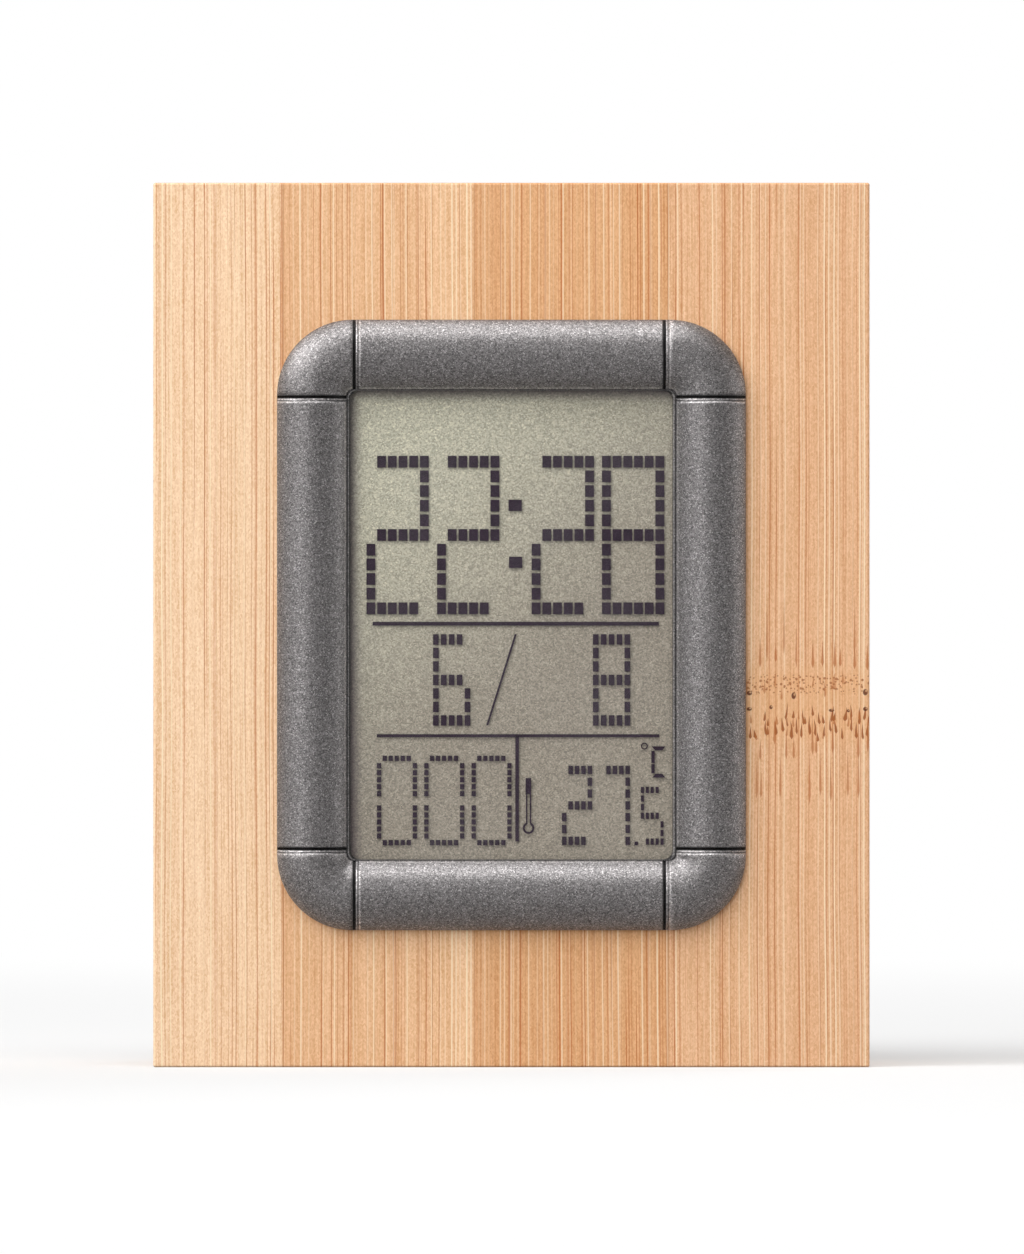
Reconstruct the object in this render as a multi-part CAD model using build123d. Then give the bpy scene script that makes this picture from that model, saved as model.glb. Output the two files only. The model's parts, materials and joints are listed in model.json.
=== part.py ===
"""Free-standing desk clock: a liquid-crystal clock module clamped in a laminated bamboo block.

Millimetres. +Z is up, the display faces -Y, and the origin is the centre of the block's bottom face.
The module is held by its own two shells: the bezel sits on the block's front face, the rear housing sits in a
rebate in the back, and four screws pull them together through the block.
"""

import math
import os

from build123d import *

# Bamboo block: the wooden border that shows round the bezel, and its eased edges
side_margin = 14.0
end_margin = 15.5
block_edge = 0.25

# Bezel: rounded bars with a groove at each end, a thin rim round the window, and a collar in the block
bezel_bar = 7.85
bezel_crown = 2.4
bezel_skirt = 0.5
bezel_inner_corner = 0.7
groove_width = 0.65
groove_depth = 0.35
side_lip = 0.45
end_lip = 0.15
window_corner = 1.1
rim_drop = 0.1
rim_thickness = 0.3
bezel_overlap = 2.5
collar_wall = 1.8
inside_corner = 1.95
pocket_clearance = 0.25

# Display stack, from the front
lens_thickness = 0.5
lens_margin = 1.5
lens_clearance = 0.15
gasket_thickness = 0.2
gasket_inset = 0.8
polarizer_thickness = 0.2
glass_thickness = 0.7
glass_clearance = 0.8
contact_ledge = 2.6
reflector_thickness = 0.2
holder_thickness = 4.0
holder_border = 5.0
zebra_width = 1.8
zebra_clearance = 0.15

# Circuit board and what stands on it
board_thickness = 1.2
board_clearance = 0.4
board_gap = 2.2
blob_radius = 5.5
blob_height = 1.3
crystal_diameter = 2.0
crystal_length = 6.0
crystal_drop = 4.0
chip_length = 2.0
chip_width = 1.25
chip_height = 0.6
chip_pitch = 3.4
chip_count = 6
thermistor_bead = 1.1
thermistor_stand = 9.0
thermistor_lead = 0.25
switch_side = 6.0
switch_height = 3.5
switch_base = 0.8
plunger_diameter = 3.4
plunger_reach = 8.0
plunger_clearance = 0.1
plunger_foot = 0.5
reset_side = 4.0
reset_plunger_diameter = 1.6
reset_hole_diameter = 1.8

# Battery bay: two AAA cells side by side
cell_diameter = 10.5
cell_length = 44.5
cell_nub_diameter = 3.8
cell_nub_height = 0.9
cell_gap = 0.5
cell_headroom = 0.3
cell_floor_gap = 0.2
contact_thickness = 0.4
contact_height = 8.0
contact_inset = 1.0
contact_tail = 2.4
leaf_reach = 4.3
leaf_width = 5.0
leaf_gap = 0.1

# Rear housing: shell, cover plate, battery door, keys, buzzer and vents
bay_wall = 1.2
end_space = 5.15
key_column = 20.2
plate_thickness = 2.4
plate_overlap = 2.7
plate_clearance = 0.3
plate_recess = 1.0
plate_edge = 0.4
clamp_gap = 0.4
door_thickness = 2.0
door_ledge = 0.8
door_clearance = 0.2
door_seat_gap = 0.2
door_pin_diameter = 1.2
door_pin_length = 1.2
door_pin_clearance = 0.06
thumb_notch_width = 10.0
thumb_notch_reach = 1.8
thumb_notch_depth = 1.2
grip_count = 4
grip_pitch = 1.8
grip_length = 12.0
grip_width = 0.9
grip_depth = 0.5
grip_offset = 3.0
key_width = 9.0
key_height = 4.8
key_corner = 1.4
key_proud = 0.7
key_clearance = 0.2
key_flange = 0.9
key_flange_thickness = 1.0
key_seat_gap = 0.1
key_stem_diameter = 3.0
key_travel = 0.5
key_count = 4
mark_length = 2.6
mark_line = 0.55
mark_pitch = 1.1
mark_height = 0.2
buzzer_diameter = 15.0
buzzer_thickness = 0.3
ceramic_diameter = 10.0
ceramic_thickness = 0.2
buzzer_stand = 1.5
buzzer_ring_wall = 1.0
buzzer_clearance = 0.15
sound_hole_diameter = 1.2
sound_hole_circle = 6.0
sound_hole_count = 6
buzzer_pin_diameter = 0.7
vent_length = 8.0
vent_width = 0.7
vent_pitch = 1.5
vent_count = 2

# Fasteners
screw_diameter = 2.0
screw_head_diameter = 3.6
screw_head_height = 1.3
screw_well_clearance = 0.3
screw_skin = 1.3
screw_clearance = 0.15
boss_skin = 1.6
boss_end_skin = 0.6
boss_tip = 0.4
board_screw_diameter = 1.6
board_screw_head = 2.8
board_screw_head_height = 0.8
board_post_skin = 1.2
board_post_spread = 15.0
recess_cross_width = 0.5
recess_cross_depth = 0.6
recess_cross_share = 0.6
thread_clearance = 0.02

# Bay and key column set the shells' size across, and the cells set it up and down
bay_width = 2 * cell_diameter + 3 * cell_gap
bay_length = cell_length + leaf_reach + 2 * contact_thickness
inside_width = bay_width + bay_wall + key_column
inside_height = bay_length + 2 * end_space
shell_width = inside_width + 2 * collar_wall
shell_height = inside_height + 2 * collar_wall
collar_corner = inside_corner + collar_wall
pocket_width = shell_width + 2 * pocket_clearance
pocket_height = shell_height + 2 * pocket_clearance
pocket_corner = collar_corner + pocket_clearance
bezel_width = pocket_width + 2 * bezel_overlap
bezel_height = pocket_height + 2 * bezel_overlap
opening_width = bezel_width - 2 * bezel_bar
opening_height = bezel_height - 2 * bezel_bar
window_width = opening_width - 2 * side_lip
window_height = opening_height - 2 * end_lip
plate_width = pocket_width + 2 * plate_overlap
plate_height = pocket_height + 2 * plate_overlap
plate_corner = pocket_corner + plate_overlap
block_width = bezel_width + 2 * side_margin
block_height = bezel_height + 2 * end_margin
middle = block_height / 2

# Depths behind the block's front face, and the block's own depth from all that it holds
rim_front = rim_drop - bezel_skirt
lens_front = rim_front + rim_thickness
lens_back = lens_front + lens_thickness
gasket_back = lens_back + gasket_thickness
front_glass_front = gasket_back + polarizer_thickness
rear_glass_front = front_glass_front + glass_thickness
reflector_front = rear_glass_front + glass_thickness
holder_front = reflector_front + reflector_thickness
board_front = holder_front + holder_thickness
board_back = board_front + board_thickness
bay_floor_front = board_back + board_gap
bay_floor = bay_floor_front + bay_wall
cell_axis_depth = bay_floor + cell_floor_gap + cell_diameter / 2
door_inside = cell_axis_depth + cell_diameter / 2 + cell_headroom
plate_back = door_inside + door_thickness
plate_front = plate_back - plate_thickness
block_depth = plate_back + plate_recess
front_face = -block_depth / 2
shell_front = (board_back + bay_floor_front) / 2 + clamp_gap / 2
collar_back = shell_front - clamp_gap
boss_front = holder_front + board_clearance
pilot_front = boss_front + boss_end_skin
screw_tip = pilot_front + boss_tip

# Places across the module, from its centre line
bay_right = inside_width / 2
bay_left = bay_right - bay_width
bay_middle = (bay_left + bay_right) / 2
column_left = -inside_width / 2
column_right = bay_left - bay_wall
column_middle = (column_left + column_right) / 2
contact_width = cell_diameter - 2 * contact_inset
cell_places = [bay_middle + side * (cell_diameter + cell_gap) / 2 for side in (-1, 1)]
screw_well_radius = screw_head_diameter / 2 + screw_well_clearance
screw_inset = screw_well_radius + screw_skin
screw_x = shell_width / 2 - screw_inset
screw_z = shell_height / 2 - screw_inset
boss_radius = screw_diameter / 2 + boss_skin
well_bottom = shell_front + screw_clearance + screw_diameter
board_post_radius = board_screw_diameter / 2 + board_post_skin
board_post_x = inside_width / 2 - board_screw_head / 2 - screw_clearance
buzzer_ring_radius = buzzer_diameter / 2 + buzzer_ring_wall
buzzer_z = -bay_length / 2 + buzzer_ring_radius
key_zone_bottom = buzzer_z + buzzer_ring_radius
key_pitch = (bay_length / 2 - key_zone_bottom) / key_count
key_places = [bay_length / 2 - (index + 0.5) * key_pitch for index in range(key_count)]
key_names = ["mode", "set", "plus", "minus"]
reset_x = column_right - reset_side / 2 - board_clearance
reset_z = (key_places[0] + key_places[1]) / 2
flange_front = plate_front - key_seat_gap - key_flange_thickness
plunger_tip = board_back + plunger_reach
vent_z = (bay_length / 2 + inside_height / 2) / 2
door_width = bay_width + 2 * (door_ledge - door_clearance)
door_length = bay_length + 2 * (door_ledge - door_clearance)
door_radius = door_thickness / 2
hinge_z = door_length / 2 - door_radius
hinge_depth = plate_back - door_radius


def at_depth(depth):
    """Y of a plane that lies this far behind the block's front face."""
    return front_face + depth


def prism(outline, front, back, x=0.0, z=0.0):
    """A flat outline, drawn as seen from the front, carried from one depth to another."""
    plane = Plane(origin=(x, at_depth(front), middle + z), x_dir=(1, 0, 0), z_dir=(0, -1, 0))
    return extrude(plane * outline, amount=front - back)


def slab(left, right, front, back, bottom, top):
    """A box given by its sides, its depths and its heights from the module's centre."""
    outline = Rectangle(right - left, top - bottom)
    return prism(outline, front, back, (left + right) / 2, (bottom + top) / 2)


def rod(radius, front, back, x=0.0, z=0.0):
    return prism(Circle(radius), front, back, x, z)


def corners(x, z):
    return [(side * x, end * z) for side in (-1, 1) for end in (-1, 1)]


def save(shape, name):
    export_step(shape, os.path.join("parts", name + ".step"))


# Bamboo block


def make_bamboo_block():
    block = Pos(0, 0, middle) * Box(block_width, block_depth, block_height)
    block = fillet(block.edges(), block_edge)
    pocket = RectangleRounded(pocket_width, pocket_height, pocket_corner)
    block -= prism(pocket, -block_edge, block_depth + block_edge)
    rebate = RectangleRounded(
        plate_width + 2 * plate_clearance, plate_height + 2 * plate_clearance, plate_corner + plate_clearance
    )
    return block - prism(rebate, plate_front, block_depth + block_edge)


# Bezel


def bar_section(lowered, offset):
    """Half-round cross-section of a bezel bar, with its inner edge this far from the local origin."""
    inner = (offset, bezel_skirt - lowered)
    crown = (offset + bezel_bar / 2, bezel_crown - lowered)
    outer = (offset + bezel_bar, bezel_skirt - lowered)
    outline = [
        Line((inner[0], 0), inner),
        TangentArc(crown, inner, tangent=(-1, 0)),
        TangentArc(crown, outer, tangent=(1, 0)),
        Line(outer, (outer[0], 0)),
        Line((outer[0], 0), (inner[0], 0)),
    ]
    return make_face(outline)


def section_plane(x, z):
    """Plane across the upper bar: local x runs up, away from the window, and local y runs forward."""
    return Plane(origin=(x, front_face, z), x_dir=(0, 0, 1), z_dir=(1, 0, 0))


def bezel_quarter(across, along):
    """The upper bar and the corner at its right end, about the module's centre, with a groove at each end."""
    run = along - bezel_inner_corner
    start = section_plane(-run, across)
    bar = extrude(start * bar_section(0, 0), amount=2 * run)
    pivot = (run, front_face, across - bezel_inner_corner)
    corner_section = section_plane(pivot[0], pivot[2]) * bar_section(0, bezel_inner_corner)
    corner = revolve(corner_section, Axis(pivot, (0, 1, 0)), 90)
    quarter = bar + corner
    for left in (-run, run - groove_width):
        cut = Pos(left + groove_width / 2, front_face, across + bezel_bar / 2) * Box(
            groove_width, 2 * bezel_crown, bezel_bar + groove_width
        )
        core = extrude(section_plane(left, across) * bar_section(groove_depth, 0), amount=groove_width)
        quarter -= cut - core
    return quarter


def make_bezel_frame():
    frame = Part()
    for quarter in range(4):
        sizes = (opening_height / 2, opening_width / 2)
        across, along = sizes if quarter % 2 == 0 else reversed(sizes)
        frame += Pos(0, 0, middle) * Rot(0, 90 * quarter, 0) * bezel_quarter(across, along)
    rim_outline = Rectangle(opening_width + bezel_bar, opening_height + bezel_bar)
    window = RectangleRounded(window_width, window_height, window_corner)
    frame += prism(rim_outline - window, rim_front, lens_front)
    collar = RectangleRounded(shell_width, shell_height, collar_corner)
    seat = Rectangle(*lens_size(lens_clearance))
    frame += prism(collar - seat, lens_front, lens_back)
    cavity = RectangleRounded(inside_width, inside_height, inside_corner)
    frame += prism(collar - cavity, lens_back, collar_back)
    frame -= prism(seat, lens_front, lens_back)
    for x, z in corners(screw_x, screw_z):
        frame += corner_boss(x, z)
    for x, z in corners(screw_x, screw_z):
        frame -= rod(screw_diameter / 2 + thread_clearance, pilot_front, collar_back, x, z)
    for x, z in corners(board_post_x, board_post_spread):
        frame += board_post(x, z)
    for x, z in corners(board_post_x, board_post_spread):
        frame -= rod(board_screw_diameter / 2 + thread_clearance, pilot_front, board_front, x, z)
    return frame


def corner_boss(x, z):
    """Screw boss in a corner of the collar, webbed to both walls."""
    side = math.copysign(1, x)
    end = math.copysign(1, z)
    wall_x = shell_width / 2 - collar_wall / 2
    wall_z = shell_height / 2 - collar_wall / 2
    across = sorted((x, side * wall_x))
    upward = sorted((z, end * wall_z))
    boss = rod(boss_radius, boss_front, collar_back, x, z)
    boss += slab(*across, boss_front, collar_back, z - boss_radius, z + boss_radius)
    boss += slab(x - boss_radius, x + boss_radius, boss_front, collar_back, *upward)
    corner = collar_corner - collar_wall / 2
    room = RectangleRounded(shell_width - collar_wall, shell_height - collar_wall, corner)
    return boss & prism(room, boss_front, collar_back)


def board_post(x, z):
    """Post on the collar's side wall that one of the board's screws enters."""
    wall_x = math.copysign(inside_width / 2 + collar_wall / 2, x)
    post = rod(board_post_radius, boss_front, board_front, x, z)
    post += slab(*sorted((x, wall_x)), boss_front, board_front, z - board_post_radius, z + board_post_radius)
    return post & prism(Rectangle(inside_width + collar_wall, inside_height), boss_front, board_front)


# Display stack


def lens_size(clearance):
    return (window_width + 2 * (lens_margin + clearance), window_height + 2 * (lens_margin + clearance))


glass_width = inside_width - 2 * glass_clearance
glass_height = inside_height - 2 * glass_clearance
rear_glass_height = glass_height - 2 * contact_ledge
zebra_z = (glass_height + rear_glass_height) / 4
zebra_length = 2 * (screw_x - boss_radius - board_clearance - zebra_width)


def make_lens():
    return prism(Rectangle(*lens_size(0)), lens_front, lens_back)


def make_lens_gasket():
    inner = Rectangle(window_width + 2 * gasket_inset, window_height + 2 * gasket_inset)
    return prism(Rectangle(glass_width, glass_height) - inner, lens_back, gasket_back)


def make_zebra_strips():
    strips = []
    for end in (-1, 1):
        strip = Rectangle(zebra_length, zebra_width)
        strips.append(prism(strip, rear_glass_front, board_front, 0, end * zebra_z))
    return Compound(children=strips)


def standing_clearance():
    """Room that the holder and the board leave for the bezel's corner bosses, right out to the walls."""
    room = Part()
    reach = boss_radius + board_clearance
    for x, z in corners(screw_x, screw_z):
        span_x = sorted((x - math.copysign(reach, x), math.copysign(inside_width, x)))
        span_z = sorted((z - math.copysign(reach, z), math.copysign(inside_height, z)))
        room += slab(*span_x, holder_front, board_back, *span_z)
    return room


def post_notches(radius, front, back):
    """Open notches at the side edges, round the board's posts or their screws."""
    room = Part()
    for x, z in corners(board_post_x, board_post_spread):
        room += rod(radius, front, back, x, z)
        room += slab(*sorted((x, math.copysign(inside_width, x))), front, back, z - radius, z + radius)
    return room


def board_outline():
    return Rectangle(inside_width - 2 * board_clearance, inside_height - 2 * board_clearance)


def make_lcd_holder():
    inner = Rectangle(
        inside_width - 2 * (board_clearance + holder_border), rear_glass_height - 2 * holder_border
    )
    holder = prism(board_outline() - inner, holder_front, board_front)
    for end in (-1, 1):
        slot = Rectangle(zebra_length + 2 * zebra_clearance, zebra_width + 2 * zebra_clearance)
        holder -= prism(slot, holder_front, board_front, 0, end * zebra_z)
    holder -= standing_clearance()
    return holder - post_notches(board_post_radius + board_clearance, holder_front, board_front)


# Circuit board


def make_main_board():
    board = prism(board_outline(), board_front, board_back)
    board -= standing_clearance()
    return board - post_notches(board_screw_diameter / 2 + screw_clearance, board_front, board_back)


def make_controller_blob():
    """Epoxy dome over the clock chip: a cap of a sphere, standing on the board."""
    sphere_radius = (blob_radius**2 + blob_height**2) / (2 * blob_height)
    centre_depth = board_back + blob_height - sphere_radius
    ball = Pos(bay_middle, at_depth(centre_depth), middle) * Sphere(sphere_radius)
    return ball & rod(2 * blob_radius, board_back, board_back + 2 * blob_height, bay_middle)


def make_quartz_crystal():
    radius = crystal_diameter / 2
    can = Cylinder(radius, crystal_length, rotation=(0, 90, 0))
    z = buzzer_z - crystal_drop
    can = Pos(column_middle, at_depth(board_back + radius), middle + z) * can
    pad = slab(
        column_middle - crystal_length / 2, column_middle + crystal_length / 2,
        board_back, board_back + radius, z - radius / 2, z + radius / 2,
    )
    return can + pad


def make_chip_components():
    chips = []
    for index in range(chip_count):
        z = (index - (chip_count - 1) / 2) * chip_pitch
        x = bay_middle + blob_radius + chip_length
        chip = Rectangle(chip_length, chip_width)
        chips.append(prism(chip, board_back, board_back + chip_height, x, z))
    return Compound(children=chips)


def make_thermistor():
    """Bead on two stiff leads that lift it towards the vents."""
    tip = board_back + thermistor_stand
    bead = Pos(column_middle, at_depth(tip), middle + vent_z) * Sphere(thermistor_bead)
    for side in (-1, 1):
        bead += rod(thermistor_lead, board_back, tip, column_middle + side * thermistor_bead / 2, vent_z)
    return bead


def switch_body(side, bore, x, z):
    """Square tactile switch: a closed base with a round well that its plunger works in."""
    top = board_back + switch_height
    body = prism(Rectangle(side, side), board_back, top, x, z)
    return body - rod(bore, board_back + switch_base, top, x, z)


def make_key_switches():
    bore = plunger_diameter / 2 + plunger_clearance
    return Compound(children=[switch_body(switch_side, bore, column_middle, z) for z in key_places])


def make_reset_switch():
    bore = reset_plunger_diameter / 2 + plunger_clearance
    return switch_body(reset_side, bore, reset_x, reset_z)


def plunger_foot_depth():
    return board_back + switch_base + key_travel + plunger_foot


def make_plunger(z):
    return rod(plunger_diameter / 2, plunger_foot_depth(), plunger_tip, column_middle, z)


def make_reset_plunger():
    return rod(reset_plunger_diameter / 2, plunger_foot_depth(), plunger_tip, reset_x, reset_z)


# Keys


def key_mark(name):
    """Outline of the mark that tells one key from another: three lines, a square, a plus or a minus."""
    line = Rectangle(mark_length, mark_line)
    if name == "mode":
        return line + Pos(0, mark_pitch) * line + Pos(0, -mark_pitch) * line
    if name == "set":
        hollow = mark_length - 2 * mark_line
        return Rectangle(mark_length, mark_length) - Rectangle(hollow, hollow)
    if name == "plus":
        return line + Rectangle(mark_line, mark_length)
    return line


def make_key(name, z):
    """Key cap with a raised mark, a flange that stops it behind the cover plate and a stem to its switch."""
    cap = RectangleRounded(key_width, key_height, key_corner)
    brim = RectangleRounded(key_width + 2 * key_flange, key_height + 2 * key_flange, key_corner + key_flange)
    flange_back = flange_front + key_flange_thickness
    key = prism(cap, flange_back, plate_back + key_proud, column_middle, z)
    key = fillet(key.faces().sort_by(Axis.Y)[-1].edges(), key_proud / 2)
    key += prism(key_mark(name), plate_back, plate_back + key_proud + mark_height, column_middle, z)
    key += prism(brim, flange_front, flange_back, column_middle, z)
    return key + rod(key_stem_diameter / 2, plunger_tip, flange_front, column_middle, z)


# Battery cells and contacts


def make_cell(x, upward):
    """AAA cell: a round can with its nub, positive end up or down."""
    seat = upward * (bay_length / 2 - contact_thickness)
    shoulder = seat - upward * cell_nub_height
    foot = seat - upward * cell_length
    can = Cylinder(cell_diameter / 2, abs(shoulder - foot))
    can = fillet(can.edges(), contact_thickness)
    nub = Cylinder(cell_nub_diameter / 2, cell_nub_height + contact_thickness)
    nub_z = seat - upward * (cell_nub_height + contact_thickness) / 2
    y = at_depth(cell_axis_depth)
    can = Pos(x, y, middle + (shoulder + foot) / 2) * can
    return can + Pos(x, y, middle + nub_z) * nub


def contact_plate(left, right, end):
    """Flat contact against the bay's end wall."""
    front = cell_axis_depth - contact_height / 2
    span = sorted((end * bay_length / 2, end * (bay_length / 2 - contact_thickness)))
    return slab(left, right, front, front + contact_height, *span)


def contact_leaf(x, end):
    """Bowed leaf that presses on a cell's flat end, springing from its contact plate."""
    foot = bay_length / 2 - contact_thickness
    half = contact_height / 2
    rise = leaf_reach - leaf_gap
    inner_half = half - contact_thickness
    edges = [
        ThreePointArc((-half, 0), (0, rise), (half, 0)),
        Line((half, 0), (inner_half, 0)),
        ThreePointArc((inner_half, 0), (0, rise - contact_thickness), (-inner_half, 0)),
        Line((-inner_half, 0), (-half, 0)),
    ]
    origin = (x - leaf_width / 2, at_depth(cell_axis_depth), middle + end * foot)
    across = Plane(origin, x_dir=(0, -end, 0), z_dir=(1, 0, 0))
    return extrude(across * make_face(edges), amount=leaf_width)


def contact_tail_strip(x):
    """Tail of an upper contact, through the bay's floor to the board."""
    top = bay_length / 2
    half = contact_tail / 2
    return slab(
        x - half, x + half, board_back, cell_axis_depth - contact_height / 2, top - contact_thickness, top
    )


def make_link_contact():
    half = contact_width / 2
    plate = contact_plate(cell_places[0] - half, cell_places[1] + half, -1)
    return plate + contact_leaf(cell_places[0], -1)


def make_end_contact(x, sprung):
    half = contact_width / 2
    contact = contact_plate(x - half, x + half, 1) + contact_tail_strip(x)
    return contact + contact_leaf(x, 1) if sprung else contact


# Rear housing


def make_rear_housing():
    shell = RectangleRounded(shell_width, shell_height, collar_corner)
    cavity = RectangleRounded(inside_width, inside_height, inside_corner)
    plate = RectangleRounded(plate_width, plate_height, plate_corner)
    cover = prism(plate, plate_front, plate_back)
    cover = fillet(cover.faces().sort_by(Axis.Y)[-1].edges(), plate_edge)
    housing = cover + prism(shell - cavity, shell_front, plate_front)
    half_bay = bay_length / 2
    housing += slab(
        column_right, bay_right + collar_wall / 2, bay_floor_front, plate_front,
        -half_bay - bay_wall, half_bay + bay_wall,
    )
    for x, z in corners(screw_x, screw_z):
        housing += screw_well(x, z)
    ring = Circle(buzzer_ring_radius) - Circle(buzzer_ring_radius - buzzer_ring_wall)
    ring_front = plate_front - buzzer_stand - buzzer_thickness
    housing += prism(ring, ring_front, plate_front, column_middle, buzzer_z)
    ledge = Circle(buzzer_ring_radius) - Circle(buzzer_ring_radius - 2 * buzzer_ring_wall)
    housing += prism(ledge, plate_front - buzzer_stand, plate_front, column_middle, buzzer_z)
    housing -= slab(bay_left, bay_right, bay_floor, plate_back, -half_bay, half_bay)
    housing -= door_opening()
    for x, z in corners(screw_x, screw_z):
        housing -= rod(screw_diameter / 2 + screw_clearance, shell_front, well_bottom, x, z)
        housing -= rod(screw_well_radius, well_bottom, plate_back, x, z)
    for z in key_places:
        hole = RectangleRounded(
            key_width + 2 * key_clearance, key_height + 2 * key_clearance, key_corner + key_clearance
        )
        housing -= prism(hole, plate_front, plate_back, column_middle, z)
    housing -= rod(reset_hole_diameter / 2, plate_front, plate_back, reset_x, reset_z)
    for x, z in sound_holes():
        housing -= rod(sound_hole_diameter / 2, plate_front, plate_back, x, z)
    for index in range(vent_count):
        z = vent_z + (index - (vent_count - 1) / 2) * vent_pitch
        housing -= prism(SlotOverall(vent_length, vent_width), plate_front, plate_back, column_middle, z)
    for x in cell_places:
        half = contact_tail / 2 + contact_thickness
        housing -= slab(
            x - half, x + half, bay_floor_front, bay_floor, half_bay - 2 * contact_thickness, half_bay
        )
    return housing


def screw_well(x, z):
    """Solid corner that a screw's well is bored in, inside the shell's own outline."""
    side = math.copysign(1, x)
    end = math.copysign(1, z)
    reach = screw_well_radius + screw_skin / 2
    well = rod(reach, shell_front, plate_front, x, z)
    well += slab(*sorted((x, side * shell_width / 2)), shell_front, plate_front, z - reach, z + reach)
    well += slab(x - reach, x + reach, shell_front, plate_front, *sorted((z, end * shell_height / 2)))
    return well & prism(RectangleRounded(shell_width, shell_height, collar_corner), shell_front, plate_front)


def sound_holes():
    places = [(column_middle, buzzer_z)]
    for index in range(sound_hole_count):
        angle = 2 * math.pi * index / sound_hole_count
        reach = sound_hole_circle / 2
        places.append((column_middle + reach * math.cos(angle), buzzer_z + reach * math.sin(angle)))
    return places


def door_opening():
    """Recess for the door, its pin holes, and the notch for a thumb nail at the door's lower end."""
    half_length = bay_length / 2 + door_ledge
    left = bay_left - door_ledge
    right = bay_right + door_ledge
    opening = slab(left, right, door_inside - door_seat_gap, plate_back, -half_length, half_length)
    pin_radius = door_pin_diameter / 2 + door_pin_clearance
    opening += pin_rod(pin_radius, left - door_pin_length, right + door_pin_length)
    notch = slab(
        bay_middle - thumb_notch_width / 2, bay_middle + thumb_notch_width / 2,
        plate_back - thumb_notch_depth, plate_back, -half_length - thumb_notch_reach, -half_length,
    )
    return opening + notch


def pin_rod(radius, left, right):
    pin = Cylinder(radius, right - left, rotation=(0, 90, 0))
    return Pos((left + right) / 2, at_depth(hinge_depth), middle + hinge_z) * pin


def door_grip():
    """Slots across the door near its lower end, for a thumb."""
    slots = Part()
    for index in range(grip_count):
        z = -door_length / 2 + grip_offset + index * grip_pitch
        slots += prism(SlotOverall(grip_length, grip_width), plate_back - grip_depth, plate_back, bay_middle, z)
    return slots


def make_battery_door():
    """Door with a round upper end that turns on two stub pins in the cover plate."""
    half_width = door_width / 2
    left = bay_middle - half_width
    right = bay_middle + half_width
    door = slab(left, right, door_inside, plate_back, -door_length / 2, hinge_z)
    door += pin_rod(door_radius, left, right)
    reach = door_clearance + door_pin_length - door_pin_clearance
    door += pin_rod(door_pin_diameter / 2, left - reach, right + reach)
    return door - door_grip()


# Buzzer


def make_buzzer_disc():
    back = plate_front - buzzer_stand
    radius = buzzer_diameter / 2 - buzzer_clearance
    return rod(radius, back - buzzer_thickness, back, column_middle, buzzer_z)


def make_buzzer_ceramic():
    back = plate_front - buzzer_stand - buzzer_thickness
    return rod(ceramic_diameter / 2, back - ceramic_thickness, back, column_middle, buzzer_z)


def make_buzzer_pins():
    """Two contact pins that stand on the board: one reaches the brass margin, the other the ceramic."""
    disc_front = plate_front - buzzer_stand - buzzer_thickness
    margin_x = column_middle - (ceramic_diameter + buzzer_diameter) / 4
    ceramic_x = column_middle + ceramic_diameter / 4
    radius = buzzer_pin_diameter / 2
    margin_pin = rod(radius, board_back, disc_front, margin_x, buzzer_z)
    ceramic_pin = rod(radius, board_back, disc_front - ceramic_thickness, ceramic_x, buzzer_z)
    return Compound(children=[margin_pin, ceramic_pin])


# Fasteners


def screw(diameter, head_diameter, head_height, head_front, length, x, z):
    """Pan-head screw driven from behind, with a cross recess."""
    head_back = head_front + head_height
    body = rod(head_diameter / 2, head_front, head_back, x, z)
    body = fillet(body.faces().sort_by(Axis.Y)[-1].edges(), head_height / 3)
    body += rod(diameter / 2, head_front - length, head_front, x, z)
    span = head_diameter * recess_cross_share
    depth = head_back - min(recess_cross_depth, head_height / 2)
    for width, height in ((span, recess_cross_width), (recess_cross_width, span)):
        body -= prism(Rectangle(width, height), depth, head_back, x, z)
    return body


def make_case_screws():
    length = well_bottom - screw_tip
    screws = []
    for x, z in corners(screw_x, screw_z):
        screws.append(
            screw(screw_diameter, screw_head_diameter, screw_head_height, well_bottom, length, x, z)
        )
    return Compound(children=screws)


def make_board_screws():
    length = board_back - screw_tip
    screws = []
    for x, z in corners(board_post_x, board_post_spread):
        screws.append(
            screw(board_screw_diameter, board_screw_head, board_screw_head_height, board_back, length, x, z)
        )
    return Compound(children=screws)


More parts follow.
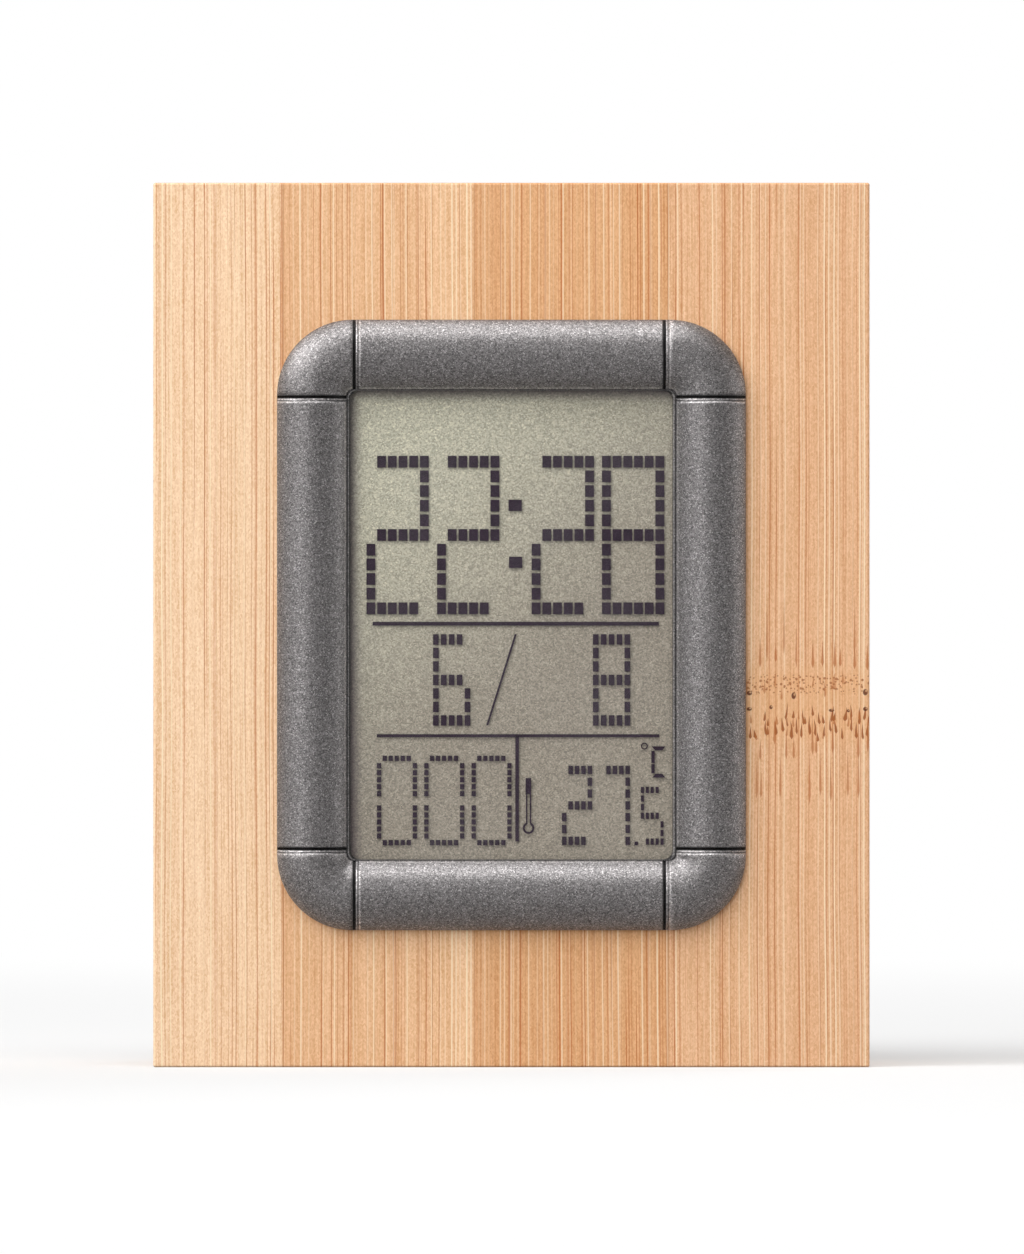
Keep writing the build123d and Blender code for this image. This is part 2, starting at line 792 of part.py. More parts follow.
def make_all():
    glass = Rectangle(glass_width, glass_height)
    rear_glass = Rectangle(glass_width, rear_glass_height)
    pieces = {
        "bamboo_block": make_bamboo_block(),
        "bezel_frame": make_bezel_frame(),
        "lens": make_lens(),
        "lens_gasket": make_lens_gasket(),
        "lcd_front_polarizer": prism(glass, gasket_back, front_glass_front),
        "lcd_front_glass": prism(glass, front_glass_front, rear_glass_front),
        "lcd_rear_glass": prism(rear_glass, rear_glass_front, reflector_front),
        "lcd_reflector": prism(rear_glass, reflector_front, holder_front),
        "lcd_holder": make_lcd_holder(),
        "zebra_strips": make_zebra_strips(),
        "main_board": make_main_board(),
        "board_screws": make_board_screws(),
        "controller_blob": make_controller_blob(),
        "quartz_crystal": make_quartz_crystal(),
        "chip_components": make_chip_components(),
        "thermistor": make_thermistor(),
        "key_switches": make_key_switches(),
        "reset_switch": make_reset_switch(),
        "reset_plunger": make_reset_plunger(),
        "rear_housing": make_rear_housing(),
        "case_screws": make_case_screws(),
        "battery_door": make_battery_door(),
        "battery_cell_inner": make_cell(cell_places[0], 1),
        "battery_cell_outer": make_cell(cell_places[1], -1),
        "link_contact": make_link_contact(),
        "positive_contact": make_end_contact(cell_places[0], False),
        "negative_contact": make_end_contact(cell_places[1], True),
        "buzzer_disc": make_buzzer_disc(),
        "buzzer_ceramic": make_buzzer_ceramic(),
        "buzzer_pins": make_buzzer_pins(),
    }
    for name, z in zip(key_names, key_places):
        pieces[name + "_key"] = make_key(name, z)
        pieces[name + "_plunger"] = make_plunger(z)
    return pieces


os.makedirs("parts", exist_ok=True)
for piece_name, piece in make_all().items():
    save(piece, piece_name)
print("block", round(block_width, 2), round(block_depth, 2), round(block_height, 2))
print("bezel", round(bezel_width, 2), round(bezel_height, 2))
print("window", round(window_width, 2), round(window_height, 2))
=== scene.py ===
import json

import bpy
import numpy as np
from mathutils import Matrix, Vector


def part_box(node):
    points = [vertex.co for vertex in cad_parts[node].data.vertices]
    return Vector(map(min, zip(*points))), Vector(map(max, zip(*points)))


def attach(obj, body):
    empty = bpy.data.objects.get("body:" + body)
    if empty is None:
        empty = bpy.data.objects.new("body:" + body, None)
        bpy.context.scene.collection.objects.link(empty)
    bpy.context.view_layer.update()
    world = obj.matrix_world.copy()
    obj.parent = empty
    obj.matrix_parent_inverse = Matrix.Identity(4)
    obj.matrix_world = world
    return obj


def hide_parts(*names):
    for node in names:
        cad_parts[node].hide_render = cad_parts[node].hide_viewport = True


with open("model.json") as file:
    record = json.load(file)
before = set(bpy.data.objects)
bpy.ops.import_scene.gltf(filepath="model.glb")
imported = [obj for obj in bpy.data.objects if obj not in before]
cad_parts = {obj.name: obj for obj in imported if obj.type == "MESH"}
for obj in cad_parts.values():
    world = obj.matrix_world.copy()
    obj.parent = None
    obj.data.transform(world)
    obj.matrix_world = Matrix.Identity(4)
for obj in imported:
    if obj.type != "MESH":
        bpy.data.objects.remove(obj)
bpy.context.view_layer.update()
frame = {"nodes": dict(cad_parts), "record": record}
nodes = frame["nodes"]
mm = 0.001
lensMargin = 1.5 * mm    # of the lens that the bezel's rim covers
blockLow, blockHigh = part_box("bamboo_block")
frontY = blockLow.y
middleZ = (blockLow.z + blockHigh.z) / 2
print("frame loaded,", len(nodes), "nodes")


# Small tools for node trees

def paint(red, green, blue):
    # 8-bit sRGB to linear light: c / 12.92 in the toe, ((c + 0.055) / 1.055) ^ 2.4 above it
    c = np.array([red, green, blue]) / 255
    linear = np.where(c <= 0.04045, c / 12.92, ((c + 0.055) / 1.055) ** 2.4)
    return (*linear.tolist(), 1.0)


def addNode(tree, kind, **settings):
    node = tree.nodes.new(kind)
    for key, value in settings.items():
        setattr(node, key, value)
    return node


def feed(tree, socket, value):
    if isinstance(value, bpy.types.NodeSocket):
        tree.links.new(value, socket)
    elif value is not None:
        socket.default_value = value


def calc(tree, operation, first, second=None, third=None):
    node = addNode(tree, "ShaderNodeMath", operation=operation)
    for socket, value in zip(node.inputs, (first, second, third)):
        feed(tree, socket, value)
    return node.outputs[0]


def product(tree, first, *others):
    for other in others:
        first = calc(tree, "MULTIPLY", first, other)
    return first


def swing(tree, texture, amount, around):
    # around + amount * (texture - 0.5)
    return calc(tree, "MULTIPLY_ADD", calc(tree, "SUBTRACT", texture, 0.5), amount, around)


def mixColour(tree, factor, first, second):
    # inputs 6 and 7 and output 2 are the node's colour sockets
    node = addNode(tree, "ShaderNodeMix", data_type="RGBA")
    feed(tree, node.inputs[0], factor)
    feed(tree, node.inputs[6], first)
    feed(tree, node.inputs[7], second)
    return node.outputs[2]


def brighten(tree, colour, factor):
    node = addNode(tree, "ShaderNodeVectorMath", operation="SCALE")
    feed(tree, node.inputs[0], colour[:3] if isinstance(colour, tuple) else colour)
    feed(tree, node.inputs["Scale"], factor)
    return node.outputs[0]


def warmTone(tree, colour, spread):
    # colour times 1 + spread * (0.6, 1, 1.5): darker parts turn more orange, lighter parts paler
    scale = addNode(tree, "ShaderNodeCombineXYZ")
    for socket, share in zip(scale.inputs, (0.6, 1.0, 1.5)):
        feed(tree, socket, calc(tree, "MULTIPLY_ADD", spread, share, 1.0))
    node = addNode(tree, "ShaderNodeVectorMath", operation="MULTIPLY")
    feed(tree, node.inputs[0], colour)
    feed(tree, node.inputs[1], scale.outputs[0])
    return node.outputs[0]


def ease(tree, value, low, high, bottom=0.0, top=1.0):
    # smooth step from bottom to top as value goes from low to high
    node = addNode(tree, "ShaderNodeMapRange", interpolation_type="SMOOTHSTEP")
    for socket, item in zip(node.inputs, (value, low, high, bottom, top)):
        feed(tree, socket, item)
    return node.outputs[0]


def perMillimetre(tree, scale=(1, 1, 1), offset=(0, 0, 0)):
    # object coordinates in millimetres, times scale, plus offset
    place = addNode(tree, "ShaderNodeTexCoord").outputs["Object"]
    mapping = addNode(tree, "ShaderNodeMapping")
    feed(tree, mapping.inputs["Vector"], place)
    mapping.inputs["Scale"].default_value = [step / mm for step in scale]
    mapping.inputs["Location"].default_value = offset
    return mapping.outputs[0]


def clouds(tree, scale, detail=2.0, offset=(0, 0, 0)):
    node = addNode(tree, "ShaderNodeTexNoise")
    feed(tree, node.inputs["Vector"], perMillimetre(tree, scale, offset))
    node.inputs["Scale"].default_value = 1
    node.inputs["Detail"].default_value = detail
    return node.outputs[0]


def cells(tree, scale, offset=(0, 0, 0)):
    # distance to the nearest random point, and a random number that belongs to that point
    node = addNode(tree, "ShaderNodeTexVoronoi")
    feed(tree, node.inputs["Vector"], perMillimetre(tree, scale, offset))
    node.inputs["Scale"].default_value = 1
    chance = addNode(tree, "ShaderNodeSeparateColor")
    feed(tree, chance.inputs[0], node.outputs["Color"])
    return node.outputs["Distance"], chance.outputs[0]


def axes(tree, vector):
    split = addNode(tree, "ShaderNodeSeparateXYZ")
    feed(tree, split.inputs[0], vector)
    return split.outputs


def newMaterial(name, roughness=0.5, metallic=0.0):
    material = bpy.data.materials.new(name)
    material.use_nodes = True
    shader = material.node_tree.nodes["Principled BSDF"]
    shader.inputs["Roughness"].default_value = roughness
    shader.inputs["Metallic"].default_value = metallic
    return material, material.node_tree, shader


def addBump(tree, shader, height, depth):
    # bump whose full height is depth, in metres
    node = addNode(tree, "ShaderNodeBump")
    node.inputs["Distance"].default_value = depth
    feed(tree, node.inputs["Height"], height)
    feed(tree, shader.inputs["Normal"], node.outputs[0])


# Bamboo: four pressed strips side by side on the front, in plies that are staggered behind it

bamboo = {
    "edges": (-25.8, -4.2, 17.7),          # where the strips meet, mm from the block's middle
    "span": (-50.0, 43.0),                 # mm across one run of four strips
    "step": 0.0004,                        # share of the span in which one strip's colour turns into the next
    "strips": (
        (paint(246, 209, 172), paint(245, 206, 166)),
        (paint(231, 181, 136), paint(239, 193, 149)),
        (paint(225, 170, 121), paint(227, 173, 124)),
        (paint(234, 185, 142), paint(230, 179, 136)),
    ),
    "ply": 6.25,                           # mm thick
    "stagger": 37.0,                       # mm each ply is shifted
    "skin": 0.05,                          # mm the first ply reaches past the front face
    "facing": 0.7,                         # part of a normal along an axis, above which a face looks that way
    "endTone": 0.78,                       # cut ends are darker than the faces
    "glue": paint(190, 126, 76),
    "seam": (0.13, 0.04, 0.0, 0.55),       # glue between strips: mm from none to full, and strength
    "layer": (0.14, 0.04, 0.0, 0.5),       # glue between plies
    "roughness": (0.55, 0.45),
    "specular": 0.3,
    "bump": 0.008 * mm,
}


def stripColours(tree, across):
    low, high = bamboo["span"]
    ramp = addNode(tree, "ShaderNodeValToRGB")
    starts = (low, *bamboo["edges"])
    ends = (*bamboo["edges"], high)
    stops = ramp.color_ramp.elements
    while len(stops) < 2 * len(starts):
        stops.new(0.5)
    for index, (start, end, pair) in enumerate(zip(starts, ends, bamboo["strips"])):
        stops[2 * index].position = (start - low) / (high - low)
        stops[2 * index].color = pair[0]
        stops[2 * index + 1].position = (end - low) / (high - low) - bamboo["step"]
        stops[2 * index + 1].color = pair[1]
    share = calc(tree, "DIVIDE", calc(tree, "SUBTRACT", across, low), high - low)
    feed(tree, ramp.inputs[0], share)
    return ramp.outputs[0]


# Fibres: rows of fine dark and pale lines that run up the block

fibres = {
    # lines to a millimetre, and seed
    "bold": (0.7, 3.0),
    "thin": (2.6, 41.0),
    "light": (1.8, 87.0),
    "boldReach": (0.09, 0.05),             # mm to each side: what the taper adds, and what stays
    "thinReach": 0.1,
    "paleReach": 0.11,
    "beside": 0.22,                        # mm from a bold line to the pale line next to it
    "strength": {"bold": 0.95, "thin": 0.9, "beside": 0.7, "light": 0.95, "cutEnd": 0.5},
    "taper": (0.3, 0.62),
    "wander": 0.9,                         # mm
    "contrast": {"fine": 0.5, "speck": 0.3, "streak": 0.3, "broad": 0.2},
    "dark": paint(188, 98, 30),
    "pale": paint(255, 234, 200),
}


def fibreLines(tree, across, perMm, seed):
    # signed distance in mm to the nearest of a random row of lines, and two random numbers of that line
    place = calc(tree, "MULTIPLY_ADD", across, perMm, seed)
    node = addNode(tree, "ShaderNodeTexVoronoi", voronoi_dimensions="1D")
    feed(tree, node.inputs["W"], place)
    node.inputs["Scale"].default_value = 1
    chance = addNode(tree, "ShaderNodeSeparateColor")
    feed(tree, chance.inputs[0], node.outputs["Color"])
    signed = calc(tree, "DIVIDE", calc(tree, "SUBTRACT", place, node.outputs["W"]), perMm)
    return signed, chance.outputs[0], chance.outputs[1]


def lineMask(tree, signed, middle, reach, chance, strength):
    # soft line at middle, reach mm to each side, as strong as its random number squared
    away = calc(tree, "ABSOLUTE", calc(tree, "SUBTRACT", signed, middle))
    narrow = calc(tree, "MAXIMUM", reach, 0.001)
    line = ease(tree, calc(tree, "DIVIDE", away, narrow), 1.0, 0.35)
    return product(tree, chance, chance, strength, line)


def fibreMasks(tree, grain):
    strength = fibres["strength"]
    taper = ease(tree, clouds(tree, (0.9, 0.9, 0.03), 1.0), *fibres["taper"])
    bold, boldChance, _ = fibreLines(tree, grain, *fibres["bold"])
    thin, thinChance, _ = fibreLines(tree, grain, *fibres["thin"])
    light, lightChance, _ = fibreLines(tree, grain, *fibres["light"])
    boldReach = calc(tree, "MULTIPLY_ADD", taper, *fibres["boldReach"])
    thinReach = calc(tree, "MULTIPLY", taper, fibres["thinReach"])
    boldLine = lineMask(tree, bold, 0.0, boldReach, boldChance, strength["bold"])
    thinLine = lineMask(tree, thin, 0.0, thinReach, thinChance, strength["thin"])
    besideLine = lineMask(tree, bold, fibres["beside"], fibres["paleReach"], boldChance, strength["beside"])
    lightLine = lineMask(tree, light, 0.0, fibres["paleReach"], lightChance, strength["light"])
    return calc(tree, "MAXIMUM", boldLine, thinLine), calc(tree, "MAXIMUM", besideLine, lightLine)


# Knuckle: the joint of the cane, on the right-hand strip only

knuckle = {
    "height": 40.0,                        # mm above the base
    "tint": paint(230, 172, 116),
    "tintMiddle": 1.0,                     # mm above the knuckle
    "tintReach": (5.5, 2.5, 0.0, 0.3),     # mm from none to full, and strength
    "bend": 0.8,                           # mm a row of dashes strays
    "dashInk": paint(162, 90, 42),
    "tailInk": paint(186, 108, 52),
    "speckInk": paint(168, 96, 48),
    "pitInk": paint(92, 32, 0),
    "pitStrength": 0.9,
    # dashes to a mm, seed, mm above the knuckle, jitter, half width, height, share kept;
    # then strength, ink and whether the row strays
    "dashes": (
        ((0.8, 3.3, 5.2, 1.4, 0.26, 3.0, 0.6), 0.8, "tailInk", False),
        ((0.5, 73.1, 6.0, 2.0, 0.2, 7.0, 0.7), 0.7, "tailInk", False),
        ((0.9, 61.7, 2.4, 2.0, 0.22, 1.8, 0.6), 0.65, "tailInk", True),
        ((1.45, 17.9, -0.9, 1.3, 0.28, 1.5, 0.85), 0.95, "dashInk", True),
        ((1.45, 29.1, -2.5, 1.5, 0.27, 1.6, 0.9), 0.95, "dashInk", True),
        ((1.3, 53.3, -1.9, 2.6, 0.22, 1.1, 0.6), 0.7, "tailInk", True),
        ((0.8, 43.5, -4.6, 2.4, 0.24, 3.6, 0.6), 0.75, "tailInk", False),
        ((0.7, 51.3, -9.6, 2.4, 0.22, 4.6, 0.7), 0.7, "tailInk", False),
    ),
    # dots to a mm, radius, mm above the knuckle, half height of the band, seed, share kept; strength
    "dots": (((1.5, 0.2, 3.4, 0.9, 5.2, 0.6), 0.8), ((2.6, 0.12, 3.3, 1.3, 9.4, 0.6), 0.75)),
    # mm across, mm above the base, half width and half height
    "pits": (
        (26.9, 42.3, 0.36, 0.3), (26.9, 40.5, 0.34, 0.24), (32.0, 42.0, 0.3, 0.44), (40.1, 42.4, 0.32, 0.42),
        (40.1, 40.5, 0.3, 0.28), (29.4, 40.7, 0.22, 0.26), (36.3, 40.35, 0.36, 0.2), (38.2, 40.3, 0.2, 0.2),
    ),
}


def teardrops(tree, across, up, perMm, seed, base, jitter, width, height, keep):
    # a row of marks, t from the blunt foot to the pointed tip: half width = width * (1 - t) * min(1, 6 t)
    signed, chance, level = fibreLines(tree, across, perMm, seed)
    foot = calc(tree, "MULTIPLY_ADD", level, jitter, knuckle["height"] + base - jitter / 2)
    tall = calc(tree, "MULTIPLY_ADD", chance, 0.8 * height, 0.6 * height)
    t = calc(tree, "DIVIDE", calc(tree, "SUBTRACT", up, foot), tall)
    swell = calc(tree, "MINIMUM", calc(tree, "MULTIPLY", t, 6.0), 1.0)
    half = product(tree, swell, width, calc(tree, "SUBTRACT", 1.0, t))
    ratio = calc(tree, "DIVIDE", calc(tree, "ABSOLUTE", signed), calc(tree, "MAXIMUM", half, 0.001))
    kept = calc(tree, "GREATER_THAN", calc(tree, "FRACT", calc(tree, "MULTIPLY", chance, 7.0)), 1 - keep)
    return calc(tree, "MULTIPLY", ease(tree, ratio, 1.0, 0.45), kept)


def dots(tree, across, up, scale, radius, middle, half, seed, keep):
    # round spots, radius in mm, scattered in a band half mm above and below middle
    place = addNode(tree, "ShaderNodeCombineXYZ")
    feed(tree, place.inputs[0], calc(tree, "MULTIPLY_ADD", across, scale, seed))
    feed(tree, place.inputs[1], calc(tree, "MULTIPLY", up, scale))
    node = addNode(tree, "ShaderNodeTexVoronoi", voronoi_dimensions="2D")
    feed(tree, node.inputs["Vector"], place.outputs[0])
    node.inputs["Scale"].default_value = 1
    chance = addNode(tree, "ShaderNodeSeparateColor")
    feed(tree, chance.inputs[0], node.outputs["Color"])
    spot = ease(tree, node.outputs["Distance"], radius * scale, 0.5 * radius * scale)
    away = calc(tree, "ABSOLUTE", calc(tree, "SUBTRACT", up, knuckle["height"] + middle))
    kept = calc(tree, "GREATER_THAN", chance.outputs[0], 1 - keep)
    return product(tree, spot, ease(tree, away, half, half * 0.7), kept)


def pitMask(tree, across, up, x, z, halfWidth, halfHeight):
    # dark oval whose middle, up and to the right, stays pale: sqrt((x / w)^2 + (z / h)^2) is 1 on the rim
    def rim(shift):
        aside = calc(tree, "DIVIDE", calc(tree, "SUBTRACT", across, x + shift * halfWidth), halfWidth)
        above = calc(tree, "DIVIDE", calc(tree, "SUBTRACT", up, z + shift * halfHeight), halfHeight)
        square = calc(tree, "MULTIPLY", above, above)
        return calc(tree, "SQRT", calc(tree, "MULTIPLY_ADD", aside, aside, square))
    oval = ease(tree, rim(0.0), 1.0, 0.7)
    return calc(tree, "SUBTRACT", oval, ease(tree, rim(0.3), 0.5, 0.2, 0.0, 0.7))


def markKnuckle(tree, colour, across, up, where):
    # specks and pits, rows of pointed dashes, streaks that end above them and run on below
    away = calc(tree, "ABSOLUTE", calc(tree, "SUBTRACT", up, knuckle["height"] + knuckle["tintMiddle"]))
    band = ease(tree, away, *knuckle["tintReach"])
    colour = mixColour(tree, calc(tree, "MULTIPLY", band, where), colour, knuckle["tint"])
    bend = swing(tree, clouds(tree, (0.6, 0.6, 0.4), 1.0), knuckle["bend"], across)
    marks = []
    for shape, strength, ink, strays in knuckle["dashes"]:
        marks.append((teardrops(tree, bend if strays else across, up, *shape), strength, ink))
    for shape, strength in knuckle["dots"]:
        marks.append((dots(tree, bend, up, *shape), strength, "speckInk"))
    for pit in knuckle["pits"]:
        marks.append((pitMask(tree, across, up, *pit), knuckle["pitStrength"], "pitInk"))
    for mask, strength, ink in marks:
        colour = mixColour(tree, product(tree, mask, strength, where), colour, knuckle[ink])
    return colour


def makeBamboo():
    material, tree, shader = newMaterial("bamboo")
    x, y, z = axes(tree, perMillimetre(tree))
    facing = axes(tree, addNode(tree, "ShaderNodeTexCoord").outputs["Normal"])
    onSide = calc(tree, "GREATER_THAN", calc(tree, "ABSOLUTE", facing[0]), bamboo["facing"])
    onEnd = calc(tree, "GREATER_THAN", calc(tree, "ABSOLUTE", facing[2]), bamboo["facing"])
    offEnd = calc(tree, "SUBTRACT", 1.0, onEnd)
    depth = calc(tree, "SUBTRACT", y, frontY / mm - bamboo["skin"])
    ply = calc(tree, "FLOOR", calc(tree, "DIVIDE", depth, bamboo["ply"]))
    shift = calc(tree, "MULTIPLY", ply, bamboo["stagger"])
    across = calc(tree, "WRAP", calc(tree, "ADD", x, shift), bamboo["span"][1], bamboo["span"][0])
    colour = stripColours(tree, across)

    # the lines lie across x on the faces, across y on the sides
    pick = addNode(tree, "ShaderNodeMix")
    for socket, value in zip((pick.inputs[0], pick.inputs[2], pick.inputs[3]), (onSide, x, y)):
        feed(tree, socket, value)
    straight = calc(tree, "ADD", pick.outputs[0], shift)
    grain = swing(tree, clouds(tree, (0.05, 0.05, 0.02), 1.0), fibres["wander"], straight)
    dark, pale = fibreMasks(tree, grain)

    # cut ends of the fibres
    bundle, chance = cells(tree, (1.7, 2.1, 0.01), (5, 5, 5))
    cutEnds = product(tree, ease(tree, bundle, 0.4, 0.2), onEnd, chance, fibres["strength"]["cutEnd"])
    dark = calc(tree, "MAXIMUM", calc(tree, "MULTIPLY", dark, offEnd), cutEnds)
    pale = calc(tree, "MULTIPLY", pale, offEnd)

    textures = {
        "fine": clouds(tree, (5.5, 5.5, 0.14), 3.0),
        "speck": cells(tree, (8.0, 8.0, 4.0))[1],
        "streak": clouds(tree, (1.6, 1.6, 0.025), 3.0),
        "broad": clouds(tree, (0.3, 0.3, 0.01), 1.0, (3, 8, 1)),
    }
    spread = 0.0
    for name, texture in textures.items():
        spread = swing(tree, texture, fibres["contrast"][name], spread)
    endTone = calc(tree, "MULTIPLY_ADD", onEnd, bamboo["endTone"] - 1, 1.0)
    colour = brighten(tree, warmTone(tree, colour, spread), endTone)
    colour = mixColour(tree, pale, colour, fibres["pale"])
    colour = mixColour(tree, dark, colour, fibres["dark"])

    # glue between the strips and, on the sides and ends, between the plies
    seams = [calc(tree, "ABSOLUTE", calc(tree, "SUBTRACT", across, edge)) for edge in bamboo["edges"]]
    seam = calc(tree, "MINIMUM", calc(tree, "MINIMUM", seams[0], seams[1]), seams[2])
    colour = mixColour(tree, ease(tree, seam, *bamboo["seam"]), colour, bamboo["glue"])
    between = ease(tree, calc(tree, "PINGPONG", depth, bamboo["ply"] / 2), *bamboo["layer"])
    layered = calc(tree, "MULTIPLY", between, calc(tree, "MAXIMUM", onEnd, onSide))
    colour = mixColour(tree, layered, colour, bamboo["glue"])

    onFace = calc(tree, "SUBTRACT", offEnd, onSide)
    onRight = calc(tree, "GREATER_THAN", across, bamboo["edges"][2])
    where = product(tree, calc(tree, "LESS_THAN", ply, 0.5), onFace, onRight)
    feed(tree, shader.inputs["Base Color"], markKnuckle(tree, colour, grain, z, where))
    feed(tree, shader.inputs["Roughness"], ease(tree, textures["streak"], 0.3, 0.7, *bamboo["roughness"]))
    shader.inputs["Specular IOR Level"].default_value = bamboo["specular"]
    addBump(tree, shader, textures["speck"], bamboo["bump"])
    return material


# Gunmetal paint: metallic lacquer with fine flake, with painted highlights on the bezel's edges and painted
# shade in its gaps

gunmetal = {
    "colour": paint(128, 125, 125),
    "metallic": 0.8,
    "roughness": 0.41,
    "sheen": 0.3,
    "sheenRoughness": 0.4,
    "flakes": 9.0,        # to a millimetre
    "sparkle": 1.15,
    "glint": 0.9,         # added to the brightest flakes
    "paintedEdgeHighlight": 1.2,          # how much paler a painted highlight makes an edge
    "gap": 0.93,          # how much darker painted shade makes the bottom of a gap
    "mottle": 0.25,
    "mottleSize": 2.2,    # to a millimetre
    "grain": 0.015 * mm,
}


def makeGunmetal():
    material, tree, shader = newMaterial("gunmetalPaint", gunmetal["roughness"])
    shader.inputs["Sheen Weight"].default_value = gunmetal["sheen"]
    shader.inputs["Sheen Roughness"].default_value = gunmetal["sheenRoughness"]
    flake = cells(tree, (gunmetal["flakes"],) * 3)[1]
    mottle = clouds(tree, (gunmetal["mottleSize"],) * 3)
    tone = swing(tree, flake, gunmetal["sparkle"], 1.0)
    tone = swing(tree, mottle, gunmetal["mottle"], tone)
    tone = calc(tree, "ADD", tone, ease(tree, flake, 0.9, 1.0, 0.0, gunmetal["glint"]))
    # painted light: the bezel's edges get painted highlights and the bottoms of its gaps painted shade
    paintedLight = addNode(tree, "ShaderNodeAttribute", attribute_name="paintedLight").outputs["Fac"]
    edge = calc(tree, "MULTIPLY_ADD", calc(tree, "MAXIMUM", paintedLight, 0.0), gunmetal["paintedEdgeHighlight"], 1.0)
    paintedShadeShare = calc(tree, "MINIMUM", paintedLight, 0.0)
    gap = calc(tree, "MULTIPLY_ADD", paintedShadeShare, gunmetal["gap"], 1.0)
    tone = product(tree, tone, edge, gap)
    feed(tree, shader.inputs["Base Color"], brighten(tree, gunmetal["colour"], tone))
    # all metal where painted shade darkens the bottom of a gap, so that the dark painted shade reflects
    # nothing
    metallic = gunmetal["metallic"]
    feed(tree, shader.inputs["Metallic"], calc(tree, "MULTIPLY_ADD", paintedShadeShare, metallic - 1, metallic))
    addBump(tree, shader, calc(tree, "ADD", flake, mottle), gunmetal["grain"])
    return material


# Display face: grey-green film, with painted light that makes it paler at the upper left and darker at the
# lower right, and a painted shadow along the window's upper and left edges

displayFace = {
    # painted light: the film's colour runs from a lit upper left to a shaded lower right
    "paintedLitUpperLeft": paint(190, 187, 167),
    "paintedShadedLowerRight": paint(149, 141, 128),
    "lean": 0.8,          # how much the change goes across, for 1 down
    "change": (-38, 14),  # mm along that slope
    "roughness": 0.6,
    "specular": 0.2,
    "grain": 7.0,         # to a millimetre
    "contrast": 0.65,
    "glint": 0.2,         # added to the brightest grains
    # painted shadow of the bezel's rim on the film
    "paintedShading": paint(84, 70, 80),
    "paintedShadingReach": (1.6, -0.3, 0.0, 0.8),    # painted shadow: mm in from the edges, from none to full, and strength
}


def makeDisplayFace():
    material, tree, shader = newMaterial("displayFilm", displayFace["roughness"])
    x, _, z = axes(tree, perMillimetre(tree))
    # painted light: the film is paler towards the upper left and darker towards the lower right
    slope = calc(tree, "MULTIPLY_ADD", x, displayFace["lean"], calc(tree, "SUBTRACT", middleZ / mm, z))
    share = ease(tree, slope, *displayFace["change"])
    grain = cells(tree, (displayFace["grain"],) * 3)[1]
    tone = swing(tree, grain, displayFace["contrast"], 1.0)
    tone = calc(tree, "ADD", tone, ease(tree, grain, 0.92, 1.0, 0.0, displayFace["glint"]))
    colour = mixColour(tree, share, displayFace["paintedLitUpperLeft"], displayFace["paintedShadedLowerRight"])
    lensLow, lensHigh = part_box("lens")
    # painted shadow along the window's left and upper edges, where the bezel shades the film
    fromLeft = calc(tree, "SUBTRACT", x, (lensLow.x + lensMargin) / mm)
    fromTop = calc(tree, "SUBTRACT", (lensHigh.z - lensMargin) / mm, z)
    paintedShading = ease(tree, calc(tree, "MINIMUM", fromLeft, fromTop), *displayFace["paintedShadingReach"])
    colour = mixColour(tree, paintedShading, brighten(tree, colour, tone), displayFace["paintedShading"])
    feed(tree, shader.inputs["Base Color"], colour)
    shader.inputs["Specular IOR Level"].default_value = displayFace["specular"]
    return material


# Lens: almost wholly clear, with a faint smear

clearLens = {"roughness": 0.08, "specular": 0.3, "smearSize": 0.08, "smear": (0.004, 0.015)}


def makeLens():
    material, tree, shader = newMaterial("clearLens", clearLens["roughness"])
    shader.inputs["Base Color"].default_value = (1, 1, 1, 1)
    smear = clouds(tree, (clearLens["smearSize"],) * 3)
    feed(tree, shader.inputs["Alpha"], ease(tree, smear, 0.3, 0.7, *clearLens["smear"]))
    shader.inputs["Specular IOR Level"].default_value = clearLens["specular"]
    return material


# Moulded grain, shared by the plastics, rubber and plated pieces, with smudges left by handling

mould = {"smudgeSize": 0.12, "smudgeTone": 0.3, "smudgePolish": 0.4, "grainPolish": 0.3}


def makeMouldedGrain():
    group = bpy.data.node_groups.new("mouldedGrain", "ShaderNodeTree")
    sockets = group.interface
    sockets.new_socket("Colour", in_out="INPUT", socket_type="NodeSocketColor")
    for name in ("Grains", "Contrast", "Polish"):
        sockets.new_socket(name, in_out="INPUT", socket_type="NodeSocketFloat")
    sockets.new_socket("Colour", in_out="OUTPUT", socket_type="NodeSocketColor")
    for name in ("Roughness", "Height"):
        sockets.new_socket(name, in_out="OUTPUT", socket_type="NodeSocketFloat")
    given = addNode(group, "NodeGroupInput").outputs
    result = addNode(group, "NodeGroupOutput").inputs
    grain = addNode(group, "ShaderNodeTexNoise")
    feed(group, grain.inputs["Vector"], perMillimetre(group))
    feed(group, grain.inputs["Scale"], given["Grains"])
    grain.inputs["Detail"].default_value = 2.0
    smudge = clouds(group, (mould["smudgeSize"],) * 3, 3.0)
    tone = swing(group, grain.outputs[0], given["Contrast"], 1.0)
    tone = swing(group, smudge, mould["smudgeTone"], tone)
    feed(group, result["Colour"], brighten(group, given["Colour"], tone))
    polish = swing(group, smudge, mould["smudgePolish"], given["Polish"])
    feed(group, result["Roughness"], swing(group, grain.outputs[0], mould["grainPolish"], polish))
    feed(group, result["Height"], grain.outputs[0])
    return group


mouldedGrain = makeMouldedGrain()

